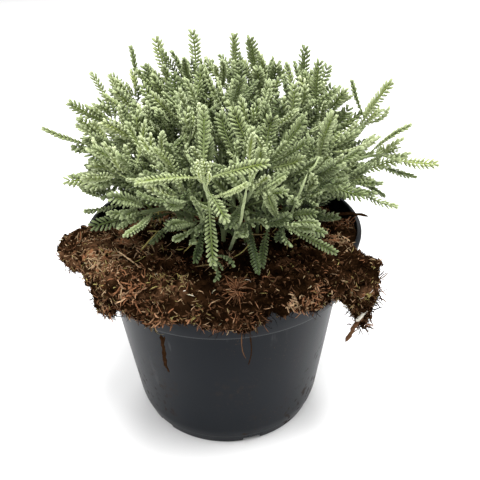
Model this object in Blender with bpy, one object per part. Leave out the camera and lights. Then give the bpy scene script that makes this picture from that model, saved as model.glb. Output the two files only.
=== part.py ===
"""A santolina in its nursery pot, life size, in metres.

The pot is a turned shell with a tall rim band and a notched foot. The substrate fills it and
spills over the front of the rim as a fibrous mat. Leafy stems stand in plain holes in it. Each
stem, with its side shoots and its comb leaves, is one closed skin: every shoot and every leaf is
drawn out of a triangle of what it grows from, and every tooth out of a triangle of its leaf.
"""
import math
import random
from dataclasses import dataclass, field

import bmesh
import bpy
import numpy as np
from mathutils import Matrix, Vector, noise
from mathutils.bvhtree import BVHTree

# Pot
RIM_RADIUS = 0.085
RIM_HEIGHT = 0.131
LIP_WIDTH = 0.0030
LIP_ROUND = 0.0010
LIP_DEPTH = 0.0030
BAND_HEIGHT = 0.030
BAND_FOOT_RADIUS = 0.0803
SHOULDER_RADIUS = 0.0742
HEEL_RADIUS = 0.0621
HEEL_HEIGHT = 0.012
FOOT_RADIUS = 0.0580
FOOT_WIDTH = 0.0040
FOOT_HEIGHT = 0.0050
FLOOR_THICKNESS = 0.0020
WALL = 0.0015
POT_SIDES = 36
SHARP_ANGLE = math.radians(30.0)
PAD_RADIUS = 0.0200
NOTCH_COUNT = 6
NOTCH_TURN = math.radians(45.0)
NOTCH_WIDTH = 0.0130
DRAIN_RADIUS = 0.0045
DRAIN_CIRCLE = 0.0440
DRAIN_SIDES = 8

# Substrate
GAP = 0.0003
CROWN_HEIGHT = 0.1290
BACK_EDGE_HEIGHT = 0.1190
FRONT_EDGE_HEIGHT = 0.1365
RELIEF = 0.0022
RELIEF_SCALE = 95.0
MAT_COLUMNS = 44
MAT_TOP_RINGS = (0.016, 0.034, 0.050, 0.064, 0.0755)
MAT_EDGE_RADIUS = 0.0815
INNER_STRETCHES = 5
HEAP_MIDDLE = math.radians(271.0)
HEAP_HALF_ANGLE = math.radians(86.0)
SPILL_MIDDLE = math.radians(263.0)
SPILL_HALF_ANGLE = math.radians(78.0)
ARC_FADE = math.radians(7.0)
MAT_REACH = 0.0048
MAT_REACH_NOISE = 0.0034
HEM_HEIGHT = 0.1175
HEM_NOISE = 0.0075
EDGE_NOISE_SCALE = 9.0

# Where the mat bulges out and where its hem sags: bearing and width in degrees, and how far
BULGES = ((192.0, 13.0, 0.0075), (222.0, 10.0, 0.0040), (243.0, 8.0, 0.0030),
          (329.0, 9.0, 0.0150))
SAGS = ((193.0, 8.0, 0.0050), (222.0, 7.0, 0.0120), (240.0, 6.0, 0.0060), (277.0, 5.0, 0.0050),
        (330.0, 8.0, 0.0340))

# Fibre tufts of the mat
FIBRE_SHARE = 0.12
HEM_FIBRE_SHARE = 0.34
FIBRE_RISE = (0.0012, 0.0034)
FIBRE_LEAN = 0.0016
BARE_CROWN_RADIUS = 0.040
INSIDE_FIBRE_RADIUS = 0.068

# Plant
UP = Vector((0.0, 0.0, 1.0))
GOLDEN_ANGLE = math.radians(137.5)
CROWN_CENTRE = Vector((0.002, -0.004, CROWN_HEIGHT))
STEM_RADIUS = 0.0014
SHOOT_RADIUS = 0.0011
STEM_SIDES = 4
HOLE_DEPTH = 0.0120
COLLAR_HEIGHT = 0.0050
HOLE_CLEARANCE = 0.0006
HOLE_SIDES = 6
HOLE_SPACING = 0.0062
LIMB_TAPER = 0.72
LIMB_CAP = 0.0012
LEAFY_LENGTH = 0.034
LEAFY_STEP = 0.0072
BARE_STEP = 0.0240
FORK_SHARE = 0.50
FORK_BARE = 0.0060
FORK_ROOM = 0.0080
FORK_RINGS_APART = 0.0025
CROWN_REACH = 0.030
FIBRE_ROOM = 0.0040

# Leaves
LEAF_LENGTH = 0.027
PETIOLE_SHARE = 0.22
TIP_SHARE = 0.96
RIB_RADIUS = 0.0008
TOOTH_REACH = 0.0024
TOOTH_PITCH = 0.0050
TOOTH_LEAN = 0.0010
TOOTH_TAPER = 0.72
LEAF_CLEARANCE = 0.0004
LEAF_ROOT_ROOM = 0.0050
LEAF_WANDER = 0.0012
LEAF_SHRINK = 0.012
NATURAL_ANGLE = 48.0
MEASURED_TRIES = 30
RULED_TRIES = 5
TURN_TRIES = 10
ROOT_TRIES = 6

# Shells of growing tips that fill the bush: radius, spacing and steepest angle from upright
BUSH_CENTRE = Vector((0.004, 0.000, 0.128))
SHELLS = ((0.086, 0.029, math.radians(84.0)), (0.056, 0.029, math.radians(86.0)))
SHELL_STEPS = 90
RULED_LEAVES = 6
TIP_ROOM = 0.016
SEED = 6


@dataclass
class Shoot:
    """One growing tip: where it ends, where its measured leaves end, and how many more it has."""

    tip: tuple
    leaf_tips: tuple = ()
    extra: int = 3
    heading: tuple = ()
    leaf_length: float = LEAF_LENGTH


# Each row is one leafy stem: its main shoot, then the side shoots that fork from it.
MEASURED_STEMS = (
    (Shoot((-0.006, -0.086, 0.199), ((-0.035, -0.085, 0.195), (0.022, -0.080, 0.201),
                                    (-0.005, -0.075, 0.222), (-0.003, -0.092, 0.157),
                                    (0.006, -0.092, 0.187)), 1, (-0.1, -0.15, 1.0)),),
    (Shoot((0.016, -0.074, 0.186), ((0.018, -0.090, 0.150), (0.030, -0.085, 0.196),
                                   (0.003, -0.088, 0.174)), 1, (0.1, -0.6, 0.8)),),
    (Shoot((0.033, -0.072, 0.164), ((0.058, -0.070, 0.148), (0.043, -0.080, 0.137),
                                   (0.052, -0.075, 0.166), (0.031, -0.082, 0.143)), 1,
           (0.4, -0.9, 0.1)),),
    (Shoot((0.024, -0.052, 0.192), ((0.040, -0.062, 0.214), (0.020, -0.066, 0.212)), 3,
           (0.2, -0.4, 0.9)),),
    (Shoot((0.053, -0.044, 0.184), ((0.056, -0.050, 0.212), (0.072, -0.056, 0.173)), 3,
           (0.5, -0.3, 0.8)),
     Shoot((0.060, -0.058, 0.166), (), 3, (0.7, -0.6, 0.1))),
    (Shoot((0.074, -0.020, 0.166), ((0.092, -0.030, 0.160), (0.098, -0.018, 0.176)), 3,
           (0.9, -0.2, 0.2)),),
    (Shoot((0.094, -0.006, 0.176), ((0.121, -0.015, 0.173), (0.104, -0.010, 0.193),
                                   (0.112, -0.004, 0.190)), 2, (1.0, -0.1, 0.25)),),
    (Shoot((0.086, 0.010, 0.191), ((0.101, 0.005, 0.209), (0.083, 0.008, 0.217)), 2,
           (0.6, 0.1, 0.7)),),
    (Shoot((0.062, 0.014, 0.199), ((0.061, 0.015, 0.221), (0.073, 0.020, 0.220),
                                   (0.078, 0.004, 0.205)), 2, (0.3, 0.1, 1.0)),),
    (Shoot((0.053, 0.026, 0.203), ((0.050, 0.027, 0.228), (0.066, 0.034, 0.216)), 2,
           (0.1, 0.2, 1.0)),
     Shoot((0.041, 0.004, 0.196), (), 4, (0.2, -0.1, 1.0))),
    (Shoot((0.029, 0.036, 0.208), ((0.030, 0.041, 0.231), (0.041, 0.036, 0.224),
                                   (0.019, 0.044, 0.227)), 2, (0.1, 0.2, 1.0)),),
    (Shoot((0.007, 0.034, 0.208), ((0.001, 0.040, 0.230), (0.012, 0.038, 0.231)), 3,
           (-0.1, 0.1, 1.0)),
     Shoot((0.012, 0.002, 0.200), (), 4, (0.0, -0.2, 1.0))),
    (Shoot((-0.017, 0.032, 0.210), ((-0.016, 0.040, 0.236), (-0.026, 0.036, 0.231)), 3,
           (-0.1, 0.1, 1.0)),),
    (Shoot((-0.034, 0.030, 0.207), ((-0.038, 0.040, 0.232), (-0.046, 0.016, 0.219)), 3,
           (-0.3, 0.1, 1.0)),
     Shoot((-0.022, 0.000, 0.199), (), 4, (-0.2, -0.2, 1.0))),
    (Shoot((-0.053, 0.024, 0.204), ((-0.060, 0.030, 0.225), (-0.052, 0.031, 0.229)), 3,
           (-0.4, 0.1, 0.9)),),
    (Shoot((-0.066, 0.012, 0.195), ((-0.073, 0.016, 0.218), (-0.083, 0.004, 0.206),
                                    (-0.067, 0.024, 0.213)), 2, (-0.6, 0.1, 0.7)),),
    (Shoot((-0.070, -0.008, 0.186), ((-0.097, -0.010, 0.195), (-0.087, -0.001, 0.200)), 3,
           (-0.9, -0.1, 0.4)),
     Shoot((-0.048, -0.016, 0.190), (), 4, (-0.4, -0.3, 0.9))),
    (Shoot((-0.058, -0.034, 0.176), ((-0.083, -0.030, 0.173), (-0.078, -0.041, 0.167),
                                    (-0.072, -0.020, 0.188)), 2, (-0.9, -0.4, 0.1)),),
    (Shoot((-0.044, -0.050, 0.162), ((-0.066, -0.052, 0.156), (-0.052, -0.068, 0.160)), 3,
           (-0.8, -0.6, 0.0)),),
    (Shoot((-0.028, -0.048, 0.185), (), 5, (-0.4, -0.6, 0.7)),),
    (Shoot((-0.012, -0.066, 0.160), (), 4, (-0.2, -1.0, 0.0)),),
    (Shoot((0.000, -0.034, 0.196), (), 5, (0.0, -0.4, 0.9)),),
)


@dataclass
class Leaf:
    """A planned leaf: its root on the shoot, the bend and the tip, and which way its face looks."""

    root: Vector
    bend: Vector
    tip: Vector
    lift: Vector

    def at(self, share):
        """Returns the point at a share of the way from root to tip."""
        rest = 1.0 - share
        return self.root * rest * rest + self.bend * 2.0 * rest * share + self.tip * share * share


@dataclass
class Limb:
    """A planned stem or shoot: its axis as points, its leaves and the shoots that fork from it.

    A fork also holds the distance along its parent where it leaves it.
    """

    axis: list
    radius: float
    forks_at: float = 0.0
    leaves: list = field(default_factory=list)
    forks: list = field(default_factory=list)

    def length(self):
        """Returns the length along the axis."""
        return sum((b - a).length for a, b in zip(self.axis, self.axis[1:]))

    def at(self, distance):
        """Returns the point and the direction at a distance along the axis."""
        left = distance
        for a, b in zip(self.axis, self.axis[1:]):
            step = (b - a).length
            if left <= step:
                return a.lerp(b, left / step), (b - a).normalized()
            left -= step
        return self.axis[-1].copy(), (self.axis[-1] - self.axis[-2]).normalized()


class Thicket:
    """Remembers where everything grows, so that nothing is grown through it."""

    def __init__(self):
        """Starts empty."""
        self.spots = np.zeros((0, 3))
        self.reach = np.zeros(0)
        self.owner = np.zeros(0, dtype=int)

    def add(self, spots, reach, owner):
        """Adds the sample spots of one limb or leaf."""
        self.spots = np.vstack((self.spots, spots))
        self.reach = np.concatenate((self.reach, reach))
        self.owner = np.concatenate((self.owner, np.full(len(reach), owner)))

    def is_clear(self, spots, reach, owner, root_length):
        """Tests sample spots, and lets a root stretch touch what it grows from."""
        apart = np.linalg.norm(spots[:, None, :] - self.spots[None, :, :], axis=2)
        needed = reach[:, None] + self.reach[None, :] + LEAF_CLEARANCE
        near_root = np.linalg.norm(spots - spots[0], axis=1) < root_length
        allowed = near_root[:, None] & (self.owner == owner)[None, :]
        return bool(np.all((apart > needed) | allowed))


def mix(start, end, share):
    """Returns the value at a share of the way between two."""
    return start + (end - start) * share


def cubic(a, b, c, d, share):
    """Returns a point of a cubic Bezier curve."""
    rest = 1.0 - share
    return (a * rest**3 + b * 3.0 * rest**2 * share + c * 3.0 * rest * share**2 + d * share**3)


def wave(x, y, scale, seed=0.0):
    """Returns smooth noise between about -1 and 1."""
    return noise.noise(Vector((x * scale, y * scale, seed)))


def bump(angle, middle, width):
    """Returns a smooth hump round one bearing, in degrees."""
    apart = (math.degrees(angle) - middle + 180.0) % 360.0 - 180.0
    return math.exp(-(apart / width) ** 2)


def arc_share(angle, middle, half_angle):
    """Returns 1 along an arc of bearings and 0 beyond it, with a short fade between."""
    apart = abs((angle - middle + math.pi) % (2.0 * math.pi) - math.pi)
    share = min(1.0, max(0.0, (half_angle - apart) / ARC_FADE))
    return share * share * (3.0 - 2.0 * share)


def spill(angle):
    """Returns 1 where the mat hangs over the rim and 0 where it stays inside it."""
    return arc_share(angle, SPILL_MIDDLE, SPILL_HALF_ANGLE)


def mat_height(x, y):
    """Returns the height of the substrate's top at a point."""
    angle = math.atan2(y, x)
    out = min(1.0, math.hypot(x, y) / RIM_RADIUS)
    heap = arc_share(angle, HEAP_MIDDLE, HEAP_HALF_ANGLE)
    edge = mix(BACK_EDGE_HEIGHT, FRONT_EDGE_HEIGHT, heap)
    relief = RELIEF * (wave(x, y, RELIEF_SCALE) + 0.5 * wave(x, y, 2.3 * RELIEF_SCALE, 4.0))
    return mix(CROWN_HEIGHT, edge, out * out) + relief * min(1.0, out * 2.0)


def pot_outer_radius(height):
    """Returns the outer radius of the pot's wall or band at a height."""
    if height >= RIM_HEIGHT - BAND_HEIGHT:
        return mix(BAND_FOOT_RADIUS, RIM_RADIUS, (height - RIM_HEIGHT + BAND_HEIGHT) / BAND_HEIGHT)
    wall_height = RIM_HEIGHT - BAND_HEIGHT - HEEL_HEIGHT
    return mix(HEEL_RADIUS, SHOULDER_RADIUS, (height - HEEL_HEIGHT) / wall_height)


def pot_profile(swell):
    """Returns the pot's section from the axis below to the axis above, grown by a swell."""
    floor = FOOT_HEIGHT + swell
    ledge = RIM_HEIGHT - BAND_HEIGHT
    return (
        (0.0, -swell), (PAD_RADIUS, -swell), (PAD_RADIUS, FOOT_HEIGHT - FLOOR_THICKNESS - swell),
        (FOOT_RADIUS - FOOT_WIDTH - swell, FOOT_HEIGHT - FLOOR_THICKNESS - swell),
        (FOOT_RADIUS - FOOT_WIDTH - swell, -swell), (FOOT_RADIUS + swell, -swell),
        (HEEL_RADIUS + swell, HEEL_HEIGHT), (SHOULDER_RADIUS + swell, ledge - swell),
        (BAND_FOOT_RADIUS + swell, ledge - swell), (RIM_RADIUS + swell, RIM_HEIGHT - LIP_ROUND),
        (RIM_RADIUS - LIP_ROUND + swell, RIM_HEIGHT + swell),
        (RIM_RADIUS - LIP_WIDTH - swell, RIM_HEIGHT + swell),
        (RIM_RADIUS - LIP_WIDTH + LIP_ROUND - swell, RIM_HEIGHT - LIP_DEPTH),
        (BAND_FOOT_RADIUS - WALL - swell, ledge + WALL + swell),
        (SHOULDER_RADIUS - WALL - swell, ledge + WALL + swell),
        (HEEL_RADIUS - WALL - swell, HEEL_HEIGHT), (FOOT_RADIUS - WALL - swell, floor),
        (0.0, floor),
    )


def new_object(name, mesh, material=None):
    """Puts a mesh into the scene as a named object with its material."""
    made = bpy.data.objects.new(name, mesh)
    bpy.context.scene.collection.objects.link(made)
    if material:
        mesh.materials.append(material)
    return made


def finish(name, colour, roughness):
    """Makes a plain Principled material."""
    made = bpy.data.materials.new(name)
    made.use_nodes = True
    shader = made.node_tree.nodes["Principled BSDF"]
    shader.inputs["Base Color"].default_value = (*colour, 1.0)
    shader.inputs["Roughness"].default_value = roughness
    shader.inputs["Metallic"].default_value = 0.0
    return made


def turned(name, profile, material=None):
    """Spins a section round the upright axis into a closed body."""
    shape = bmesh.new()
    points = [shape.verts.new((radius, 0.0, height)) for radius, height in profile]
    edges = [shape.edges.new(pair) for pair in zip(points, points[1:])]
    bmesh.ops.spin(shape, geom=points + edges, axis=(0, 0, 1), cent=(0, 0, 0),
                   angle=2.0 * math.pi, steps=POT_SIDES)
    bmesh.ops.remove_doubles(shape, verts=shape.verts, dist=1e-5)
    bmesh.ops.recalc_face_normals(shape, faces=shape.faces)
    mesh = bpy.data.meshes.new(name)
    shape.to_mesh(mesh)
    shape.free()
    mesh.shade_smooth()
    mesh.set_sharp_from_angle(angle=SHARP_ANGLE)
    return new_object(name, mesh, material)


def cut(body, cutter):
    """Cuts one solid out of another and keeps the cutter as a hidden guide."""
    cutter.hide_render = True
    cutter.display_type = "WIRE"
    boolean = body.modifiers.new(cutter.name, "BOOLEAN")
    boolean.object = cutter
    boolean.operation = "DIFFERENCE"
    boolean.solver = "EXACT"


def build_pot():
    """Builds the pot with its notched foot and drain holes."""
    pot = turned("pot", pot_profile(0.0), finish("slate_plastic", (0.024, 0.028, 0.032), 0.42))
    shape = bmesh.new()
    for index in range(NOTCH_COUNT):
        angle = NOTCH_TURN + 2.0 * math.pi * index / NOTCH_COUNT
        bearing = Vector((math.cos(angle), math.sin(angle), 0.0))
        turn = Matrix.Rotation(angle, 4, "Z")
        notch = Matrix.Translation(bearing * FOOT_RADIUS) @ turn @ Matrix.Diagonal(
            (FOOT_WIDTH * 3.0, NOTCH_WIDTH, (FOOT_HEIGHT - FLOOR_THICKNESS) * 2.0, 1.0))
        bmesh.ops.create_cube(shape, size=1.0, matrix=notch)
        drain = Matrix.Translation(bearing * DRAIN_CIRCLE + UP * FOOT_HEIGHT)
        bmesh.ops.create_cone(shape, cap_ends=True, segments=DRAIN_SIDES, radius1=DRAIN_RADIUS,
                              radius2=DRAIN_RADIUS, depth=FOOT_HEIGHT, matrix=drain)
    mesh = bpy.data.meshes.new("foot_cutters")
    shape.to_mesh(mesh)
    shape.free()
    cut(pot, new_object("foot_cutters", mesh))


class Skin:
    """A closed skin of triangles, out of whose faces limbs, leaves and teeth are drawn."""

    def __init__(self):
        """Starts with no points and no faces."""
        self.points = []
        self.faces = {}
        self.next_face = 0

    def add_point(self, place):
        """Adds a point and returns its index."""
        self.points.append(Vector(place))
        return len(self.points) - 1

    def add_face(self, a, b, c):
        """Adds a triangle, anticlockwise from outside, and returns its number."""
        self.faces[self.next_face] = (a, b, c)
        self.next_face += 1
        return self.next_face - 1

    def middle(self, face):
        """Returns the middle of a face."""
        a, b, c = (self.points[index] for index in self.faces[face])
        return (a + b + c) / 3.0

    def outward(self, face):
        """Returns the outward direction of a face."""
        a, b, c = (self.points[index] for index in self.faces[face])
        return (b - a).cross(c - a).normalized()

    def ring(self, centre, forward, lift, radius, sides):
        """Adds a ring of points that runs anticlockwise round its forward direction."""
        side = lift.cross(forward).normalized()
        top = forward.cross(side)
        made = []
        for index in range(sides):
            angle = 2.0 * math.pi * index / sides + math.pi / 2.0
            made.append(self.add_point(centre + (side * math.cos(angle)
                                                 + top * math.sin(angle)) * radius))
        return made

    def bridge(self, lower, upper):
        """Joins two rings of the same count and returns the faces made."""
        made = []
        count = len(lower)
        for index in range(count):
            after = (index + 1) % count
            made.append(self.add_face(lower[index], lower[after], upper[index]))
            made.append(self.add_face(lower[after], upper[after], upper[index]))
        return made

    def close(self, ring, point):
        """Closes a ring with a fan to one point and returns the faces made."""
        apex = self.add_point(point)
        return [self.add_face(ring[index], ring[(index + 1) % len(ring)], apex)
                for index in range(len(ring))]

    def poke(self, face, tip):
        """Draws one face out into a tooth that ends at a tip."""
        a, b, c = self.faces.pop(face)
        apex = self.add_point(tip)
        for start, end in ((a, b), (b, c), (c, a)):
            self.add_face(start, end, apex)

    def draw_out(self, face, rings):
        """Draws a limb out of a face through three-point rings.

        Returns the faces of each stretch and the last ring.
        """
        lower = list(self.faces.pop(face))
        first = rings[0]
        turns = []
        for turn in range(3):
            turned_ring = first[turn:] + first[:turn]
            reach = sum((self.points[a] - self.points[b]).length
                        for a, b in zip(lower, turned_ring))
            turns.append((reach, turn))
        turn = min(turns)[1]
        stretches = []
        for ring in rings:
            upper = ring[turn:] + ring[:turn]
            stretches.append(self.bridge(lower, upper))
            lower = upper
        return stretches, lower

    def tree(self, first=0):
        """Returns a search tree of the faces from a number on."""
        chosen = [face for number, face in self.faces.items() if number >= first]
        return BVHTree.FromPolygons(self.points, chosen)

    def crosses(self, first_new, standing):
        """Tests whether any face added since a number crosses another, here or in what stands."""
        fresh = self.tree(first_new)
        if any(tree.overlap(fresh) for tree in standing):
            return True
        numbers = list(self.faces)
        triangles = [self.faces[number] for number in numbers]
        tree = BVHTree.FromPolygons(self.points, triangles)
        for one, other in tree.overlap(tree):
            if max(numbers[one], numbers[other]) < first_new:
                continue
            if not set(triangles[one]) & set(triangles[other]):
                return True
        return False

    def to_object(self, name, material):
        """Turns the skin into a named object."""
        mesh = bpy.data.meshes.new(name)
        mesh.from_pydata([tuple(point) for point in self.points], [], list(self.faces.values()))
        mesh.validate()
        return new_object(name, mesh, material)


def mat_reach(angle):
    """Returns how far the mat hangs out past the rim at a bearing."""
    rough = MAT_REACH_NOISE * wave(math.cos(angle), math.sin(angle), EDGE_NOISE_SCALE, 2.0)
    return MAT_REACH + rough + sum(size * bump(angle, middle, width)
                                   for middle, width, size in BULGES)


def hem_height(angle):
    """Returns how low the mat hangs at a bearing."""
    rough = HEM_NOISE * wave(math.cos(angle), math.sin(angle), EDGE_NOISE_SCALE, 7.0)
    return HEM_HEIGHT + rough - sum(size * bump(angle, middle, width)
                                    for middle, width, size in SAGS)


def substrate_column(angle):
    """Returns the substrate's section at a bearing, from near the axis above to below."""
    hang = spill(angle)
    edge = mat_height(RIM_RADIUS * math.cos(angle), RIM_RADIUS * math.sin(angle))
    column = [(out, mat_height(out * math.cos(angle), out * math.sin(angle)))
              for out in MAT_TOP_RINGS]
    reach = mat_reach(angle)
    hem = hem_height(angle)
    ledge = RIM_HEIGHT - BAND_HEIGHT
    hanging = (
        (MAT_EDGE_RADIUS, edge + 0.0010), (RIM_RADIUS + 0.4 * reach, edge - 0.0015),
        (RIM_RADIUS + reach, RIM_HEIGHT - 0.0020),
        (RIM_RADIUS + 0.9 * reach, mix(RIM_HEIGHT - 0.0020, hem, 0.6)),
        (RIM_RADIUS - 0.0020 + 0.7 * reach, hem), (BAND_FOOT_RADIUS, max(hem, ledge) + 0.0040),
    )
    for step, (out, height) in enumerate(hanging):
        inside_height = mix(min(edge, RIM_HEIGHT - LIP_DEPTH), ledge + 0.0030,
                            step / (len(hanging) - 1.0))
        inside = pot_outer_radius(inside_height) - WALL / 2.0
        column.append((mix(inside, out, hang), mix(inside_height, height, hang)))
    column += [(BAND_FOOT_RADIUS - WALL / 2.0, ledge + WALL / 2.0),
               (SHOULDER_RADIUS - WALL / 2.0, ledge + WALL / 2.0),
               (HEEL_RADIUS - WALL / 2.0, HEEL_HEIGHT),
               (FOOT_RADIUS - WALL / 2.0, FOOT_HEIGHT - FLOOR_THICKNESS / 2.0)]
    return column


def build_substrate(draw, holes):
    """Builds the root ball and the fibrous mat, with a plain hole for each stem."""
    skin = Skin()
    rings = None
    for index in range(MAT_COLUMNS):
        angle = 2.0 * math.pi * index / MAT_COLUMNS
        column = [skin.add_point((out * math.cos(angle), out * math.sin(angle), height))
                  for out, height in substrate_column(angle)]
        if rings is None:
            rings = [[] for _ in column]
        for ring, point in zip(rings, column):
            ring.append(point)
    rings.reverse()
    top = []
    for lower, upper in zip(rings, rings[1:]):
        top.append(skin.bridge(lower, upper))
    top = top[INNER_STRETCHES:]
    skin.close(rings[-1], (0.0, 0.0, mat_height(0.0, 0.0)))
    skin.close(rings[0][::-1], (0.0, 0.0, FOOT_HEIGHT - FLOOR_THICKNESS / 2.0))
    raise_fibres(skin, top, draw)
    body = skin.to_object("substrate", finish("peat_and_moss", (0.085, 0.042, 0.020), 0.95))
    shell = turned("pot_room", pot_profile(GAP))
    cut(body, shell)
    shape = bmesh.new()
    for x, y in holes:
        depth = HOLE_DEPTH * 2.0
        middle = Matrix.Translation((x, y, mat_height(x, y)))
        radius = STEM_RADIUS + HOLE_CLEARANCE
        bmesh.ops.create_cone(shape, cap_ends=True, segments=HOLE_SIDES, radius1=radius,
                              radius2=radius, depth=depth, matrix=middle)
    mesh = bpy.data.meshes.new("stem_holes")
    shape.to_mesh(mesh)
    shape.free()
    cut(body, new_object("stem_holes", mesh))
    return skin.tree()


def raise_fibres(skin, stretches, draw):
    """Draws some faces of the mat's top and hem out into fibre tufts."""
    for stretch in stretches:
        for face in stretch:
            place = skin.middle(face)
            outward = skin.outward(face)
            out = math.hypot(place.x, place.y)
            share = HEM_FIBRE_SHARE if out > RIM_RADIUS else FIBRE_SHARE
            if out < BARE_CROWN_RADIUS or outward.z < -0.5 or draw.random() > share:
                continue
            if spill(math.atan2(place.y, place.x)) < 0.5 and out > INSIDE_FIBRE_RADIUS:
                continue
            lean = Vector((draw.uniform(-1, 1), draw.uniform(-1, 1), draw.uniform(-0.4, 0.4)))
            skin.poke(face, place + outward * draw.uniform(*FIBRE_RISE) + lean * FIBRE_LEAN)


def stem_axis(foot, tip, heading):
    """Returns the axis of a stem: upright out of its hole, then bent over to its tip."""
    collar = Vector((foot.x, foot.y, mat_height(foot.x, foot.y) + COLLAR_HEIGHT))
    span = (tip - collar).length
    rise = collar + UP * span * 0.38
    approach = tip - heading * span * 0.36
    curve = [cubic(collar, rise, approach, tip, step / 12.0) for step in range(13)]
    return [foot] + curve


def fork_axis(parent, distance, tip, heading):
    """Returns the axis of a shoot that forks from its parent."""
    start, forward = parent.at(distance)
    span = (tip - start).length
    rise = start + forward * span * 0.35
    approach = tip - heading * span * 0.35
    return [cubic(start, rise, approach, tip, step / 10.0) for step in range(11)]


def claim_room(limb, thicket, owner, root_length):
    """Registers a limb's axis, unless something grows there or it sinks into the ground."""
    length = limb.length()
    count = max(4, int(length / 0.0022))
    spots = np.array([limb.at(length * step / count)[0] for step in range(count + 1)])
    reach = np.full(count + 1, limb.radius)
    outer = [spot for spot in spots if math.dist(spot[:2], CROWN_CENTRE[:2]) > CROWN_REACH + 0.01]
    if not clear_of_ground(outer, reach) or not thicket.is_clear(spots, reach, owner, root_length):
        return False
    thicket.add(spots, reach, owner)
    return True


def leaf_samples(leaf):
    """Returns spots along a leaf and how far its teeth reach at each."""
    shares = np.linspace(0.0, 1.0, 14)
    spots = np.array([leaf.at(share) for share in shares])
    reach = np.where(shares < PETIOLE_SHARE, RIB_RADIUS,
                     RIB_RADIUS + TOOTH_REACH * np.clip((1.15 - shares) / 0.4, 0.35, 1.0))
    return spots, reach


def ground_height(x, y):
    """Returns the height that leaves stay above: the mat with its fibres, and the rim."""
    ground = mat_height(x, y) + FIBRE_ROOM
    if math.hypot(x, y) > RIM_RADIUS - 3.0 * LIP_WIDTH:
        ground = max(ground, RIM_HEIGHT + FIBRE_ROOM)
    return ground


def clear_of_ground(spots, reach):
    """Tests that a leaf hangs above the ground."""
    return all(spot[2] - radius > ground_height(spot[0], spot[1])
               for spot, radius in zip(spots, reach))


def plan_leaf(limb, distance, target, thicket, owner, draw, tries):
    """Plans one leaf towards a target, and gives way to what already grows there."""
    start, forward = limb.at(distance)
    for attempt in range(tries):
        loose = LEAF_WANDER * attempt
        aim = target + Vector((draw.uniform(-loose, loose), draw.uniform(-loose, loose),
                               draw.uniform(-loose, loose)))
        reach = aim - start
        shrink = 1.0 - LEAF_SHRINK * attempt
        across = reach - forward * reach.dot(forward)
        if across.length < 1e-6:
            continue
        across.normalize()
        root = start + across * limb.radius
        tip = root + (aim - root) * shrink
        length = (tip - root).length
        bend = root.lerp(tip, 0.45) + across * length * 0.10 - forward * length * 0.03
        lift = forward.lerp(UP, 0.25).normalized()
        leaf = Leaf(root, bend, tip, lift)
        spots, radii = leaf_samples(leaf)
        if not clear_of_ground(spots[3:], radii[3:]):
            continue
        if thicket.is_clear(spots, radii, owner, LEAF_ROOT_ROOM):
            thicket.add(spots, radii, owner)
            limb.leaves.append(leaf)
            return True
    return False


def best_root(limb, target, taken):
    """Finds where on the leafy end a leaf to a target leaves its shoot at a natural angle."""
    length = limb.length()
    best = None
    for step in range(9):
        distance = length - LEAFY_LENGTH * step / 8.0
        start, forward = limb.at(distance)
        reach = target - start
        angle = math.degrees(reach.angle(forward))
        crowding = sum(2.0 for other in taken if abs(other - distance) < 0.0018)
        cost = (abs(angle - NATURAL_ANGLE) / 20.0 + abs(reach.length - LEAF_LENGTH) / 0.008
                + crowding)
        if best is None or cost < best[0]:
            best = (cost, distance)
    return best[1]


def dress_limb(limb, shoot, thicket, owner, draw):
    """Plans a shoot's measured leaves and then the others round it."""
    length = limb.length()
    taken = []
    for target in shoot.leaf_tips:
        distance = best_root(limb, Vector(target), taken)
        if plan_leaf(limb, distance, Vector(target), thicket, owner, draw, MEASURED_TRIES):
            taken.append(distance)
    turn = draw.uniform(0.0, 2.0 * math.pi)
    for index in range(shoot.extra):
        for _ in range(TURN_TRIES):
            turn += GOLDEN_ANGLE
            share = (index + 0.5) / shoot.extra
            distance = length - LEAFY_LENGTH * share
            start, forward = limb.at(distance)
            spread = math.radians(mix(22.0, 62.0, share) + draw.uniform(-6.0, 6.0))
            side = forward.orthogonal().normalized()
            side = Matrix.Rotation(turn, 3, forward) @ side
            way = forward * math.cos(spread) + side * math.sin(spread)
            reach = shoot.leaf_length * draw.uniform(0.82, 1.08) * mix(0.9, 1.0, share)
            target = start + way * reach
            if plan_leaf(limb, distance, target, thicket, owner, draw, RULED_TRIES):
                break


def ruled_shoots(known, draw):
    """Fills the bush evenly where no measured shoot grows, most of it behind and on top."""
    made = []
    for layer_radius, spacing, steepest in SHELLS:
        for index in range(SHELL_STEPS):
            share = (index + 0.5) / SHELL_STEPS
            polar = math.acos(1.0 - share * (1.0 - math.cos(steepest)))
            bearing = index * GOLDEN_ANGLE
            way = Vector((math.sin(polar) * math.cos(bearing), math.sin(polar) * math.sin(bearing),
                          math.cos(polar)))
            tip = BUSH_CENTRE + way * layer_radius * draw.uniform(0.94, 1.04)
            if any((tip - other).length < spacing for other in known):
                continue
            if tip.z < mat_height(tip.x, tip.y) + TIP_ROOM:
                continue
            known.append(tip)
            heading = way.lerp(UP, 0.30) + Vector((0.0, 0.0, 0.05))
            made.append((Shoot(tuple(tip), (), RULED_LEAVES, tuple(heading)),))
    return made


def place_feet(rows):
    """Spreads the stems' feet round the crown so that no two holes meet."""
    feet = []
    for row in rows:
        tip = Vector(row[0].tip) - CROWN_CENTRE
        out = math.hypot(tip.x, tip.y)
        reach = CROWN_REACH * math.sin(math.atan2(out, max(tip.z, 0.004)))
        feet.append(Vector((tip.x / out * reach, tip.y / out * reach, 0.0)))
    for _ in range(60):
        for index, foot in enumerate(feet):
            for other in feet[:index]:
                apart = foot - other
                short = HOLE_SPACING - apart.length
                if short > 0.0:
                    push = (apart.normalized() if apart.length > 1e-6 else Vector((1, 0, 0)))
                    foot += push * short * 0.5
                    other -= push * short * 0.5
    return [Vector((foot.x + CROWN_CENTRE.x, foot.y + CROWN_CENTRE.y, 0.0)) for foot in feet]


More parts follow.
